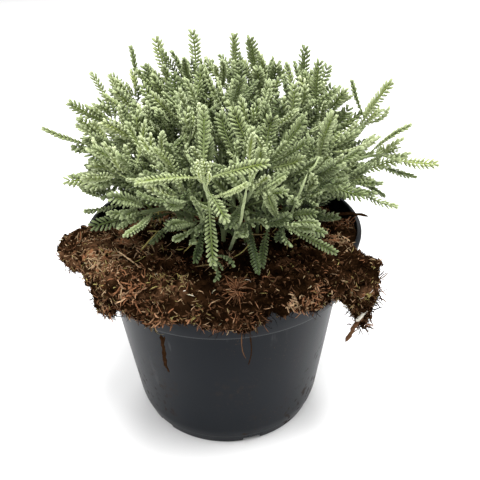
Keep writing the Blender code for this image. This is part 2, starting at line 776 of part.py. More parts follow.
def plan_bush(draw):
    """Plans every stem, shoot and leaf of the bush."""
    rows = list(MEASURED_STEMS)
    rows += ruled_shoots([Vector(shoot.tip) for row in rows for shoot in row], draw)
    feet = place_feet(rows)
    thicket = Thicket()
    stems = []
    jobs = []
    owner = 0
    for row, foot in zip(rows, feet):
        bottom = Vector((foot.x, foot.y, mat_height(foot.x, foot.y) - HOLE_DEPTH + GAP))
        stem = Limb(stem_axis(bottom, Vector(row[0].tip), Vector(row[0].heading).normalized()),
                    STEM_RADIUS)
        if not claim_room(stem, thicket, owner, 0.0):
            continue
        jobs.append((stem, row[0], owner))
        for shoot in row[1:]:
            distance = stem.length() * FORK_SHARE
            fork = Limb(fork_axis(stem, distance, Vector(shoot.tip),
                                  Vector(shoot.heading).normalized()), SHOOT_RADIUS, distance)
            if claim_room(fork, thicket, owner, FORK_ROOM):
                stem.forks.append(fork)
                jobs.append((fork, shoot, owner))
        owner += 1
        stems.append(stem)
    for limb, shoot, number in jobs:
        dress_limb(limb, shoot, thicket, number, draw)
    return stems


def level_lift(limb):
    """Returns a direction square to the plane that a limb bends in."""
    run = limb.axis[-1] - limb.axis[0]
    lift = UP.cross(run)
    return lift.normalized() if lift.length > 1e-5 else Vector((1.0, 0.0, 0.0))


def stations(limb):
    """Returns the distances along a limb where its skin has rings."""
    length = limb.length()
    leafy = max(length - LEAFY_LENGTH - LEAFY_STEP, 0.3 * length)
    bare = max(1, round((leafy - HOLE_DEPTH) / BARE_STEP))
    marks = [mix(HOLE_DEPTH, leafy, step / bare) for step in range(bare + 1)]
    for fork in limb.forks:
        marks = [mark for mark in marks if abs(mark - fork.forks_at) > 1.6 * FORK_RINGS_APART]
        marks += [fork.forks_at - FORK_RINGS_APART, fork.forks_at + FORK_RINGS_APART]
    ends = max(3, round((length - leafy) / LEAFY_STEP))
    marks += [mix(leafy, length, step / ends) for step in range(1, ends + 1)]
    return sorted(marks)


def near_faces(skin, faces, place, way):
    """Returns the faces that look along a direction, the nearest to a place first."""
    costs = []
    for face in faces:
        if face not in skin.faces:
            continue
        facing = skin.outward(face).dot(way)
        if facing > 0.15:
            costs.append(((skin.middle(face) - place).length - 0.0012 * facing, face))
    return [face for _, face in sorted(costs)]


def try_leaf(skin, faces, leaf, standing):
    """Grows a leaf from the nearest face where it crosses nothing, or leaves it out."""
    way = (leaf.at(0.25) - leaf.root).normalized()
    for face in near_faces(skin, faces, leaf.root, way)[:ROOT_TRIES]:
        kept = (list(skin.points), dict(skin.faces), skin.next_face)
        grow_leaf(skin, face, leaf)
        if not skin.crosses(kept[2], standing):
            return
        skin.points, skin.faces, skin.next_face = kept


def grow_leaf(skin, face, leaf):
    """Draws a leaf out of a face: a bare stalk, a rib with two rows of teeth, and a tip."""
    length = (leaf.tip - leaf.root).length
    count = max(3, round(length * (1.0 - PETIOLE_SHARE) / TOOTH_PITCH))
    shares = [mix(PETIOLE_SHARE, TIP_SHARE, step / count) for step in range(count + 1)]
    rings = []
    for share in shares:
        forward = (leaf.at(share + 0.02) - leaf.at(share - 0.02)).normalized()
        lift = leaf.lift - forward * leaf.lift.dot(forward)
        if lift.length < 0.25:
            lift = forward.cross(Vector((0.3, 1.0, 0.1)))
        rings.append(skin.ring(leaf.at(share), forward, lift.normalized(),
                               mix(RIB_RADIUS * 1.1, RIB_RADIUS * 0.8, share), 3))
    stretches, last = skin.draw_out(face, rings)
    forward = (leaf.tip - leaf.at(0.9)).normalized()
    skin.close(last, leaf.tip)
    for step, stretch in enumerate(stretches[1:]):
        reach = TOOTH_REACH * mix(1.0, TOOTH_TAPER, step / count)
        for side in stretch[1::2]:
            outward = skin.outward(side)
            if outward.dot(leaf.lift) > -0.45:
                skin.poke(side, skin.middle(side) + outward * reach + forward * TOOTH_LEAN)


def limb_rings(skin, limb, marks, sides):
    """Adds the rings of a limb at distances along it, and returns them with the end point."""
    lift = level_lift(limb)
    rings = []
    for index, mark in enumerate(marks, 1):
        place, forward = limb.at(mark)
        radius = limb.radius * mix(1.0, LIMB_TAPER, index / len(marks))
        rings.append(skin.ring(place, forward, lift, radius, sides))
    end, forward = limb.at(limb.length())
    return rings, end + forward * LIMB_CAP


def grow_stem(skin, stem):
    """Builds a stem from its foot to its tip and returns its side faces."""
    foot = skin.ring(stem.axis[0], UP, level_lift(stem), STEM_RADIUS, STEM_SIDES)
    skin.close(foot[::-1], stem.axis[0])
    rings, end = limb_rings(skin, stem, stations(stem), STEM_SIDES)
    faces = []
    for lower, upper in zip([foot] + rings, rings):
        faces += skin.bridge(lower, upper)
    return faces + skin.close(rings[-1], end)


def grow_fork(skin, stem, faces, fork):
    """Draws a fork out of its stem and returns the fork's side faces."""
    way = (fork.at(2.0 * FORK_BARE)[0] - fork.axis[0]).normalized()
    face = near_faces(skin, faces, stem.at(fork.forks_at)[0], way)[0]
    marks = [mark for mark in stations(fork) if mark > FORK_BARE]
    rings, end = limb_rings(skin, fork, marks, 3)
    stretches, last = skin.draw_out(face, rings)
    return sum(stretches[1:], []) + skin.close(last, end)


def build_stem(name, stem, material, standing):
    """Builds one leafy stem as one closed skin that crosses nothing that stands already."""
    skin = Skin()
    faces = grow_stem(skin, stem)
    limbs = [(stem, faces)]
    limbs += [(fork, grow_fork(skin, stem, faces, fork)) for fork in stem.forks]
    for limb, limb_faces in limbs:
        for leaf in limb.leaves:
            try_leaf(skin, limb_faces, leaf, standing)
    standing.append(skin.tree())
    skin.to_object(name, material)


def main():
    """Builds the pot, the substrate and the leafy stems."""
    for leftover in list(bpy.data.objects):
        bpy.data.objects.remove(leftover)
    build_pot()
    stems = plan_bush(random.Random(SEED))
    holes = [(stem.axis[0].x, stem.axis[0].y) for stem in stems]
    standing = [build_substrate(random.Random(SEED + 1), holes)]
    felt = finish("felted_leaf", (0.33, 0.42, 0.26), 0.85)
    for number, stem in enumerate(stems, 1):
        build_stem(f"leafy_stem_{number:02d}", stem, felt, standing)


main()
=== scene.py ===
"""Dresses a santolina in its nursery pot, life size, in metres.

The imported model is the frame. The pot gets a finely turned shell, the substrate a fibrous mat of
peat, moss and coir, and every leafy stem its felted comb leaves, with more of them than the solids
carry. The bush is planned by the rules of the solids, so that each stem stands where its node is.
"""
from __future__ import annotations

import logging
import math
import random
from collections.abc import Mapping, Sequence
from dataclasses import dataclass, field
from enum import Enum
from typing import Any

import bpy
import numpy as np
from mathutils import Matrix, Vector, noise


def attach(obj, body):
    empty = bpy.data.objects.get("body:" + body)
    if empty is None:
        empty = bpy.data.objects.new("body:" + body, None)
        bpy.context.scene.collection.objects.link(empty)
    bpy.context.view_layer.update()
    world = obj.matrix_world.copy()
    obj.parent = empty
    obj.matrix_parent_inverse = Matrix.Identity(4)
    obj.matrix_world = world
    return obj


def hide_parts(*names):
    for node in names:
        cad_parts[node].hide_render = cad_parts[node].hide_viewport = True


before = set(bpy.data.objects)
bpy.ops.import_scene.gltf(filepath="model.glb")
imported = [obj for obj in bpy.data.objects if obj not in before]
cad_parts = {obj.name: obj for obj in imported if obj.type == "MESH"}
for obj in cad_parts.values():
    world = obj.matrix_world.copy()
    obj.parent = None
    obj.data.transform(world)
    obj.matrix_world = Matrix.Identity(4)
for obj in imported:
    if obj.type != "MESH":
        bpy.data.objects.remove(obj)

log = logging.getLogger("santolina")

Array = np.ndarray
Pair = tuple[float, float]
Triple = tuple[float, float, float]
UP = Vector((0.0, 0.0, 1.0))
GOLDEN_ANGLE = math.radians(137.5)
TWO_PI = 2.0 * math.pi
BODY = "root"


class Slot(Enum):
    """Names of material slots."""

    PLASTIC = "slate_plastic"
    SUBSTRATE = "peat_and_moss"
    LEAF = "felted_leaf"


class Tone(Enum):
    """Where a kind of plant matter lies on the substrate's colour scale, from 0 to 1."""

    PEAT = 0.04
    BARK = 0.20
    UMBER = 0.34
    RUST = 0.50
    TAN = 0.66
    MOSS = 0.82
    STRAW = 0.94
    PAPER = 1.00


PEAT, BARK, UMBER, RUST, TAN, MOSS, STRAW, PAPER = Tone


class Form(Enum):
    """How a leaf's teeth stand: how far they reach, in metres, and lean forward, in degrees."""

    OPEN = (0.00350, 27.0)
    CLOSED = (0.00300, 50.0)
    YOUNG = (0.00150, 54.0)

    @property
    def reach(self) -> float:
        """The length of a tooth."""
        return self.value[0]

    @property
    def lean(self) -> float:
        """The angle of a tooth from square to its rib, in radians."""
        return math.radians(self.value[1])


class Detail(Enum):
    """How finely a tooth is built: where its stations lie, and how thick it is at each."""

    CLOSE = ((0.0, 0.32, 0.86, 1.00, 1.06), (0.0, 0.88, 1.0, 0.74, 0.0))
    OUTER = ((0.0, 0.30, 0.93, 1.08), (0.0, 0.92, 0.96, 0.0))
    INNER = ((0.0, 0.66, 1.14), (0.0, 1.2, 0.0))


def mix(start: Any, end: Any, share: Any) -> Any:
    """Blends from a start to an end by a share."""
    return start + (end - start) * share


def metres(millimetres: Sequence[float]) -> Triple:
    """Turns a place measured in millimetres into metres."""
    return tuple(value / 1000.0 for value in millimetres)


def cubic(a: Vector, b: Vector, c: Vector, d: Vector, share: float) -> Vector:
    """Finds a point of a cubic Bezier curve by its two ends and the handles between them."""
    rest = 1.0 - share
    return a * rest**3 + b * 3.0 * rest**2 * share + c * 3.0 * rest * share**2 + d * share**3


def bow(a: Array, b: Array, c: Array, share: Array) -> Array:
    """Finds points of a quadratic Bezier curve by its two ends and the handle between them."""
    return a * (1 - share)**2 + b * 2 * share * (1 - share) + c * share**2


def wave(x: float, y: float, scale: float, seed: float = 0.0) -> float:
    """Reads smooth noise over a plane, a value between about -1 and 1."""
    return noise.noise(Vector((x * scale, y * scale, seed)))


def hump(angle: float, middle: float, width: float) -> float:
    """Raises a smooth hump from 0 to 1 at a bearing in radians. Its own sizes are in degrees."""
    apart = (math.degrees(angle) - middle + 180.0) % 360.0 - 180.0
    return math.exp(-(apart / width) ** 2)


def unit(vectors: Array) -> Array:
    """Scales vectors along the last axis to length 1."""
    return vectors / (np.linalg.norm(vectors, axis=-1, keepdims=True) + 1e-12)


class Channel:
    """A number socket on which plain arithmetic adds Math nodes."""

    def __init__(self, paint: Paint, socket: bpy.types.NodeSocket) -> None:
        """Wraps a socket.

        Args:
            paint: The material that the socket belongs to.
            socket: The output that holds the number.
        """
        self.paint = paint
        self.socket = socket

    def _step(self, operation: str, first: Any, second: Any, clamp: bool = False) -> Channel:
        """Adds one Math node.

        Args:
            operation: The node's operation.
            first: A number or channel.
            second: A number or channel.
            clamp: Keeps the result between 0 and 1.

        Returns:
            The result.
        """
        made = self.paint.node("ShaderNodeMath", {"operation": operation, "use_clamp": clamp},
                               {0: first, 1: second})
        return Channel(self.paint, made.outputs[0])

    def __add__(self, other: Any) -> Channel:
        """Adds."""
        return self._step("ADD", self, other)

    __radd__ = __add__

    def __sub__(self, other: Any) -> Channel:
        """Subtracts."""
        return self._step("SUBTRACT", self, other)

    def __rsub__(self, other: Any) -> Channel:
        """Subtracts from a number."""
        return self._step("SUBTRACT", other, self)

    def __mul__(self, other: Any) -> Channel:
        """Multiplies."""
        return self._step("MULTIPLY", self, other)

    __rmul__ = __mul__

    def __truediv__(self, other: Any) -> Channel:
        """Divides."""
        return self._step("DIVIDE", self, other)

    def __pow__(self, other: Any) -> Channel:
        """Raises to a power."""
        return self._step("POWER", self, other)

    def clamped(self) -> Channel:
        """Keeps the number between 0 and 1."""
        return self._step("ADD", self, 0.0, clamp=True)

    def above(self, edge: float, softness: float) -> Channel:
        """Makes a mask of where the number is over an edge.

        Args:
            edge: The middle of the change.
            softness: How wide the change is.

        Returns:
            The mask, from 0 to 1.
        """
        return ((self - edge) / softness + 0.5).clamped()


class Paint:
    """A material built from nodes, round one Principled shader."""

    def __init__(self, name: str, roughness: float, **fixed: float) -> None:
        """Starts a material.

        Args:
            name: The material's name.
            roughness: The roughness where nothing drives it.
            **fixed: Shader sockets that are the same all over, with underscores for spaces.
        """
        self.material = bpy.data.materials.new(name)
        self.material.use_nodes = True
        self.tree = self.material.node_tree
        self.shader = self.tree.nodes["Principled BSDF"]
        self.shader.inputs["Roughness"].default_value = roughness
        for socket, value in fixed.items():
            self.shader.inputs[socket.replace("_", " ")].default_value = value
        self.place = self.node("ShaderNodeTexCoord").outputs["Object"]

    def node(self, kind: str, settings: Mapping[str, Any] | None = None,
             sockets: Mapping[int | str, Any] | None = None) -> bpy.types.Node:
        """Adds a node.

        Args:
            kind: The node's type.
            settings: Its own settings, set first. "stops" fills a colour ramp.
            sockets: Values or links for its inputs, by name or number.

        Returns:
            The node.
        """
        made = self.tree.nodes.new(kind)
        for key, value in (settings or {}).items():
            if key == "stops":
                self._fill_ramp(made.color_ramp, value)
            else:
                setattr(made, key, value)
        for key, value in (sockets or {}).items():
            self.feed(made.inputs[key], value)
        return made

    @staticmethod
    def _fill_ramp(ramp: bpy.types.ColorRamp, stops: Sequence[tuple[float, Triple]]) -> None:
        """Sets a ramp's stops.

        Args:
            ramp: The ramp.
            stops: Places and colours.
        """
        while len(ramp.elements) < len(stops):
            ramp.elements.new(1.0)
        for element, (place, colour) in zip(ramp.elements, stops):
            element.position = place
            element.color = (*colour, 1.0)

    def feed(self, target: bpy.types.NodeSocket, value: Any) -> None:
        """Links or sets one input.

        Args:
            target: The input.
            value: A channel, an output socket, a number or a colour.
        """
        source = value.socket if isinstance(value, Channel) else value
        if isinstance(source, bpy.types.NodeSocket):
            self.tree.links.new(source, target)
        elif isinstance(source, tuple) and len(source) == 3 and target.type == "RGBA":
            target.default_value = (*source, 1.0)
        else:
            target.default_value = source

    def drive(self, socket: str, value: Any) -> None:
        """Feeds one input of the shader."""
        self.feed(self.shader.inputs[socket], value)

    def grown(self, name: str) -> Channel:
        """Reads a number that the mesh holds for each point."""
        return Channel(self, self.node("ShaderNodeAttribute",
                                       {"attribute_name": name}).outputs["Fac"])

    def grain(self, scale: float, detail: float = 3.0, stretch: Triple = (1.0, 1.0, 1.0)) -> Channel:
        """Reads noise over the piece.

        Args:
            scale: How fine it is, in features a metre.
            detail: How many finer layers it has.
            stretch: The scale of each axis.

        Returns:
            The noise, from 0 to 1.
        """
        place = self.node("ShaderNodeVectorMath", {"operation": "MULTIPLY"},
                          {0: self.place, 1: stretch}).outputs[0]
        made = self.node("ShaderNodeTexNoise", {},
                         {"Vector": place, "Scale": scale, "Detail": detail})
        return Channel(self, made.outputs["Fac"])

    def axis(self, index: int) -> Channel:
        """Reads one coordinate of the place on the piece, 0 for X to 2 for Z."""
        made = self.node("ShaderNodeSeparateXYZ", {}, {0: self.place})
        return Channel(self, made.outputs[index])

    def ramp(self, factor: Channel, stops: Sequence[tuple[float, Triple]]) -> bpy.types.NodeSocket:
        """Turns a number into a colour.

        Args:
            factor: The number, from 0 to 1.
            stops: Places and colours.

        Returns:
            The colour output.
        """
        return self.node("ShaderNodeValToRGB", {"stops": stops}, {"Fac": factor}).outputs["Color"]

    def blend(self, factor: Any, first: Any, second: Any, how: str = "MIX") -> bpy.types.NodeSocket:
        """Mixes two colours.

        Args:
            factor: How much of the second shows.
            first: The colour below.
            second: The colour above.
            how: The blend type.

        Returns:
            The colour output.
        """
        made = self.node("ShaderNodeMix", {"data_type": "RGBA", "blend_type": how},
                         {0: factor, 6: first, 7: second})
        return made.outputs[2]

    def emboss(self, height: Channel, distance: float, strength: float = 1.0) -> None:
        """Bumps the surface.

        Args:
            height: The relief, from 0 to 1.
            distance: What 1 stands for, in metres.
            strength: How strongly it shows.
        """
        made = self.node("ShaderNodeBump", {},
                         {"Height": height, "Distance": distance, "Strength": strength})
        self.drive("Normal", made.outputs[0])


@dataclass(frozen=True)
class SlatePlastic:
    """Satin moulded plastic: faint streaks, scuffs, dust, splashes of dried peat, and a painted
    highlight: a thin light line along the band's lower edge.
    """

    deep: Triple = (0.0020, 0.0032, 0.0054)
    pale: Triple = (0.0062, 0.0084, 0.0118)
    # Light grey of the scuffs and of the painted highlight line on the band's lower edge
    scuff_and_highlight: Triple = (0.070, 0.072, 0.074)
    dirt: Triple = (0.045, 0.026, 0.014)
    band_edge: float = 0.1012
    splash_top: float = 0.075

    def make(self) -> bpy.types.Material:
        """Builds the material."""
        paint = Paint("slate_plastic", 0.36, Specular_IOR_Level=0.08)
        streak = paint.grain(38.0, 3.0, (1.0, 1.0, 0.16))
        cloud = paint.grain(26.0, 2.0)
        height = paint.axis(2)
        scratch = paint.grain(160.0, 2.0, (1.0, 1.0, 0.07)).above(0.68, 0.05)
        # Painted highlight: a thin light line along the band's lower edge, mixed with the scratches into
        # one mask
        edge = 1.0 - ((height - self.band_edge) * 900.0) ** 2.0
        scratches_and_highlight = (edge.clamped() * 0.45 + scratch * paint.grain(60.0).above(0.56, 0.1) * 0.28).clamped()
        speck = paint.grain(900.0, 1.0).above(0.70, 0.03) * paint.grain(34.0).above(0.55, 0.12)
        low = 1.0 - (height / self.splash_top).clamped()
        smear = paint.grain(210.0, 4.0).above(0.60, 0.08) * low * paint.grain(30.0, 1.0).above(0.56, 0.1)
        colour = paint.blend(streak * 0.6 + cloud * 0.4, self.deep, self.pale)
        colour = paint.blend(scratches_and_highlight, colour, self.scuff_and_highlight)
        colour = paint.blend((speck * 0.6 + smear * 0.5).clamped(), colour, self.dirt)
        paint.drive("Base Color", colour)
        paint.drive("Roughness", (streak * 0.14 + 0.27 + smear * 0.4 + scratches_and_highlight * 0.2).clamped())
        paint.emboss(paint.grain(2600.0, 2.0) * 0.5 + streak * 0.6, 0.00012, 0.35)
        return paint.material


@dataclass(frozen=True)
class FeltedLeaf:
    """Felted, silver-tipped leaf: green along the rib, pale where the hairs are thick, darker or paler
    by a tone that holds painted shade and light.
    """

    ribs: tuple[tuple[float, Triple], ...] = (
        (0.0, (0.014, 0.026, 0.003)), (0.5, (0.075, 0.110, 0.012)), (1.0, (0.230, 0.285, 0.035)))
    tips: tuple[tuple[float, Triple], ...] = (
        (0.0, (0.072, 0.104, 0.034)), (0.5, (0.370, 0.430, 0.228)), (1.0, (0.600, 0.655, 0.410)))

    def make(self) -> bpy.types.Material:
        """Builds the material."""
        paint = Paint("felted_leaf", 0.84, Specular_IOR_Level=0.2, Sheen_Weight=0.10,
                      Sheen_Roughness=0.5)
        # The tone holds each leaf's own colour with painted shade and light: dark deep in the bush and
        # low in front
        tone = paint.grown("tone")
        felt = paint.grown("felt")
        down = paint.grain(1500.0, 3.0)
        cover = (felt * 0.85 + (down - 0.5) * 0.5 + 0.05).clamped()
        green = paint.ramp(tone, self.ribs)
        silver = paint.ramp((tone + (paint.grain(240.0) - 0.5) * 0.3).clamped(), self.tips)
        paint.drive("Base Color", paint.blend(cover, green, silver))
        paint.emboss(paint.grain(4200.0, 2.0), 0.00022, 0.5)
        return paint.material


@dataclass(frozen=True)
class PlantLitter:
    """Peat, bark, coir, moss and straw, by the tone of each strand."""

    stops: tuple[tuple[float, Triple], ...] = (
        (0.00, (0.0035, 0.0018, 0.0008)), (0.20, (0.026, 0.012, 0.005)),
        (0.34, (0.120, 0.062, 0.032)), (0.50, (0.330, 0.145, 0.070)), (0.66, (0.560, 0.390, 0.235)),
        (0.82, (0.260, 0.195, 0.080)), (0.94, (0.560, 0.500, 0.170)), (1.00, (0.800, 0.760, 0.680)))
    fineness: float = 700.0
    shadow: Triple = (0.45, 0.42, 0.40)

    def make(self) -> bpy.types.Material:
        """Builds the material."""
        paint = Paint("plant_litter", 0.95, Specular_IOR_Level=0.0)
        mottle = paint.grain(self.fineness, 3.0)
        tone = (paint.grown("tone") + (mottle - 0.5) * 0.10).clamped()
        colour = paint.ramp(tone, self.stops)
        shade = (mottle * 1.3 + 0.25).clamped()
        dark = paint.blend(1.0, colour, self.shadow, "MULTIPLY")
        paint.drive("Base Color", paint.blend(shade, dark, colour))
        paint.emboss(paint.grain(800.0, 3.0) * 0.6 + paint.grain(2600.0, 2.0) * 0.4, 0.0012, 0.8)
        return paint.material


class Bundle:
    """Gathers strands and lumps as triangles, with a tone and a felt for each point."""

    def __init__(self) -> None:
        """Starts empty."""
        self.lots: list[tuple[Array, Array, Array, Array]] = []
        self.count = 0

    def add(self, points: Array, faces: Array, tone: Array, felt: Array | None = None) -> None:
        """Adds one lot of points and triangles.

        Args:
            points: The points, one a row.
            faces: The triangles, as rows of point numbers in this lot.
            tone: The tone of each point.
            felt: The felt of each point, 0 if not given.
        """
        felt = np.zeros(len(points)) if felt is None else felt
        self.lots.append((points, faces + self.count, tone, felt))
        self.count += len(points)

    def strands(self, paths: Array, radii: Array, sides: int, tone: Array,
                felt: Array | None = None) -> None:
        """Adds closed tubes that taper to a point at both ends.

        Args:
            paths: The centre lines, as (strand, station, coordinate).
            radii: The radius at each station. Those of the two ends are not used.
            sides: How many sides a strand has.
            tone: The tone of each strand.
            felt: The felt at each station of each strand, 0 if not given.
        """
        number, stations, _ = paths.shape
        rings = stations - 2
        size = rings * sides + 2
        forward = unit(np.gradient(paths, axis=1))
        chord = np.abs(paths[:, -1] - paths[:, 0])
        square = np.eye(3)[np.argmin(chord, axis=1)]
        side = unit(np.cross(square[:, None, :], forward))
        top = np.cross(forward, side)
        turn = TWO_PI * np.arange(sides)[:, None] / sides
        across = side[:, 1:-1, None, :] * np.cos(turn) + top[:, 1:-1, None, :] * np.sin(turn)
        ring = paths[:, 1:-1, None, :] + radii[:, 1:-1, None, None] * across
        points = np.concatenate((paths[:, :1], ring.reshape(number, rings * sides, 3),
                                 paths[:, -1:]), axis=1)
        faces = self._strand_faces(rings, sides) + (np.arange(number) * size)[:, None, None]
        if felt is not None:
            inner = np.repeat(felt[:, 1:-1], sides, axis=1)
            felt = np.concatenate((felt[:, :1], inner, felt[:, -1:]), axis=1).reshape(-1)
        self.add(points.reshape(-1, 3), faces.reshape(-1, 3), np.repeat(tone, size), felt)

    @staticmethod
    def _strand_faces(rings: int, sides: int) -> Array:
        """Lists the triangles of one strand.

        Args:
            rings: How many rings it has.
            sides: How many points a ring has.

        Returns:
            The triangles, as rows of point numbers.
        """
        last = rings * sides + 1
        made = []
        for k in range(sides):
            after = (k + 1) % sides
            made.append((0, 1 + after, 1 + k))
            for ring in range(rings - 1):
                low = 1 + ring * sides
                high = low + sides
                made.append((low + k, low + after, high + after))
                made.append((low + k, high + after, high + k))
            made.append((last - sides + k, last - sides + after, last))
        return np.array(made)

    def lumps(self, centres: Array, sizes: Array, tone: Array, draw: np.random.Generator) -> None:
        """Adds rough grains.

        Args:
            centres: Their middles.
            sizes: Their radii.
            tone: The tone of each.
            draw: The random source.
        """
        golden = (1.0 + math.sqrt(5.0)) / 2.0
        corners = unit(np.array([(0, 1, golden), (0, -1, golden), (0, 1, -golden), (0, -1, -golden),
                                 (1, golden, 0), (-1, golden, 0), (1, -golden, 0),
                                 (-1, -golden, 0), (golden, 0, 1), (golden, 0, -1),
                                 (-golden, 0, 1), (-golden, 0, -1)], float))
        apart = np.linalg.norm(corners[:, None] - corners[None], axis=2)
        close = apart < 1.2
        each = []
        for a in range(12):
            for b in range(a + 1, 12):
                for c in range(b + 1, 12):
                    if close[a, b] and close[b, c] and close[a, c]:
                        facing = np.cross(corners[b] - corners[a], corners[c] - corners[a])
                        each.append((a, b, c) if facing @ corners[a] > 0.0 else (a, c, b))
        number = len(centres)
        rough = draw.uniform(0.62, 1.25, (number, 12, 1))
        flat = draw.uniform(0.5, 1.15, (number, 1, 3))
        points = centres[:, None] + corners[None] * rough * flat * sizes[:, None, None]
        faces = np.array(each)[None] + (np.arange(number) * 12)[:, None, None]
        self.add(points.reshape(-1, 3), faces.reshape(-1, 3), np.repeat(tone, 12))

    def to_object(self, name: str, material: bpy.types.Material) -> bpy.types.Object:
        """Turns what was gathered into one smooth object.

        Args:
            name: The object's name.
            material: Its finish.

        Returns:
            The object.
        """
        points, faces, tones, felts = (np.concatenate(column) for column in zip(*self.lots))
        made = mesh_object(name, points, faces, material)
        for label, values in (("tone", tones), ("felt", felts)):
            layer = made.data.attributes.new(label, "FLOAT", "POINT")
            layer.data.foreach_set("value", values.astype(np.float32))
        return made


def mesh_object(name: str, points: Array, faces: Array,
                material: bpy.types.Material) -> bpy.types.Object:
    """Builds a smooth triangle mesh.

    Args:
        name: The object's name.
        points: The points, one a row.
        faces: The triangles, as rows of point numbers.
        material: Its finish.

    Returns:
        The object, linked to the scene.
    """
    mesh = bpy.data.meshes.new(name)
    mesh.vertices.add(len(points))
    mesh.vertices.foreach_set("co", points.astype(np.float32).ravel())
    mesh.loops.add(len(faces) * 3)
    mesh.loops.foreach_set("vertex_index", faces.astype(np.int32).ravel())
    mesh.polygons.add(len(faces))
    mesh.polygons.foreach_set("loop_start", np.arange(0, len(faces) * 3, 3, dtype=np.int32))
    mesh.update(calc_edges=True)
    mesh.shade_smooth()
    mesh.materials.append(material)
    made = bpy.data.objects.new(name, mesh)
    bpy.context.scene.collection.objects.link(made)
    return made


def keep(piece: bpy.types.Object, slot: Slot, *nodes: str) -> None:
    """Attaches a piece to its body and hides the nodes that it stands for.

    Args:
        piece: The piece.
        slot: Not used.
        *nodes: The nodes that it replaces.
    """
    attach(piece, BODY)
    if nodes:
        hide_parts(*nodes)
    log.info("%s: %d triangles", piece.name, len(piece.data.polygons))


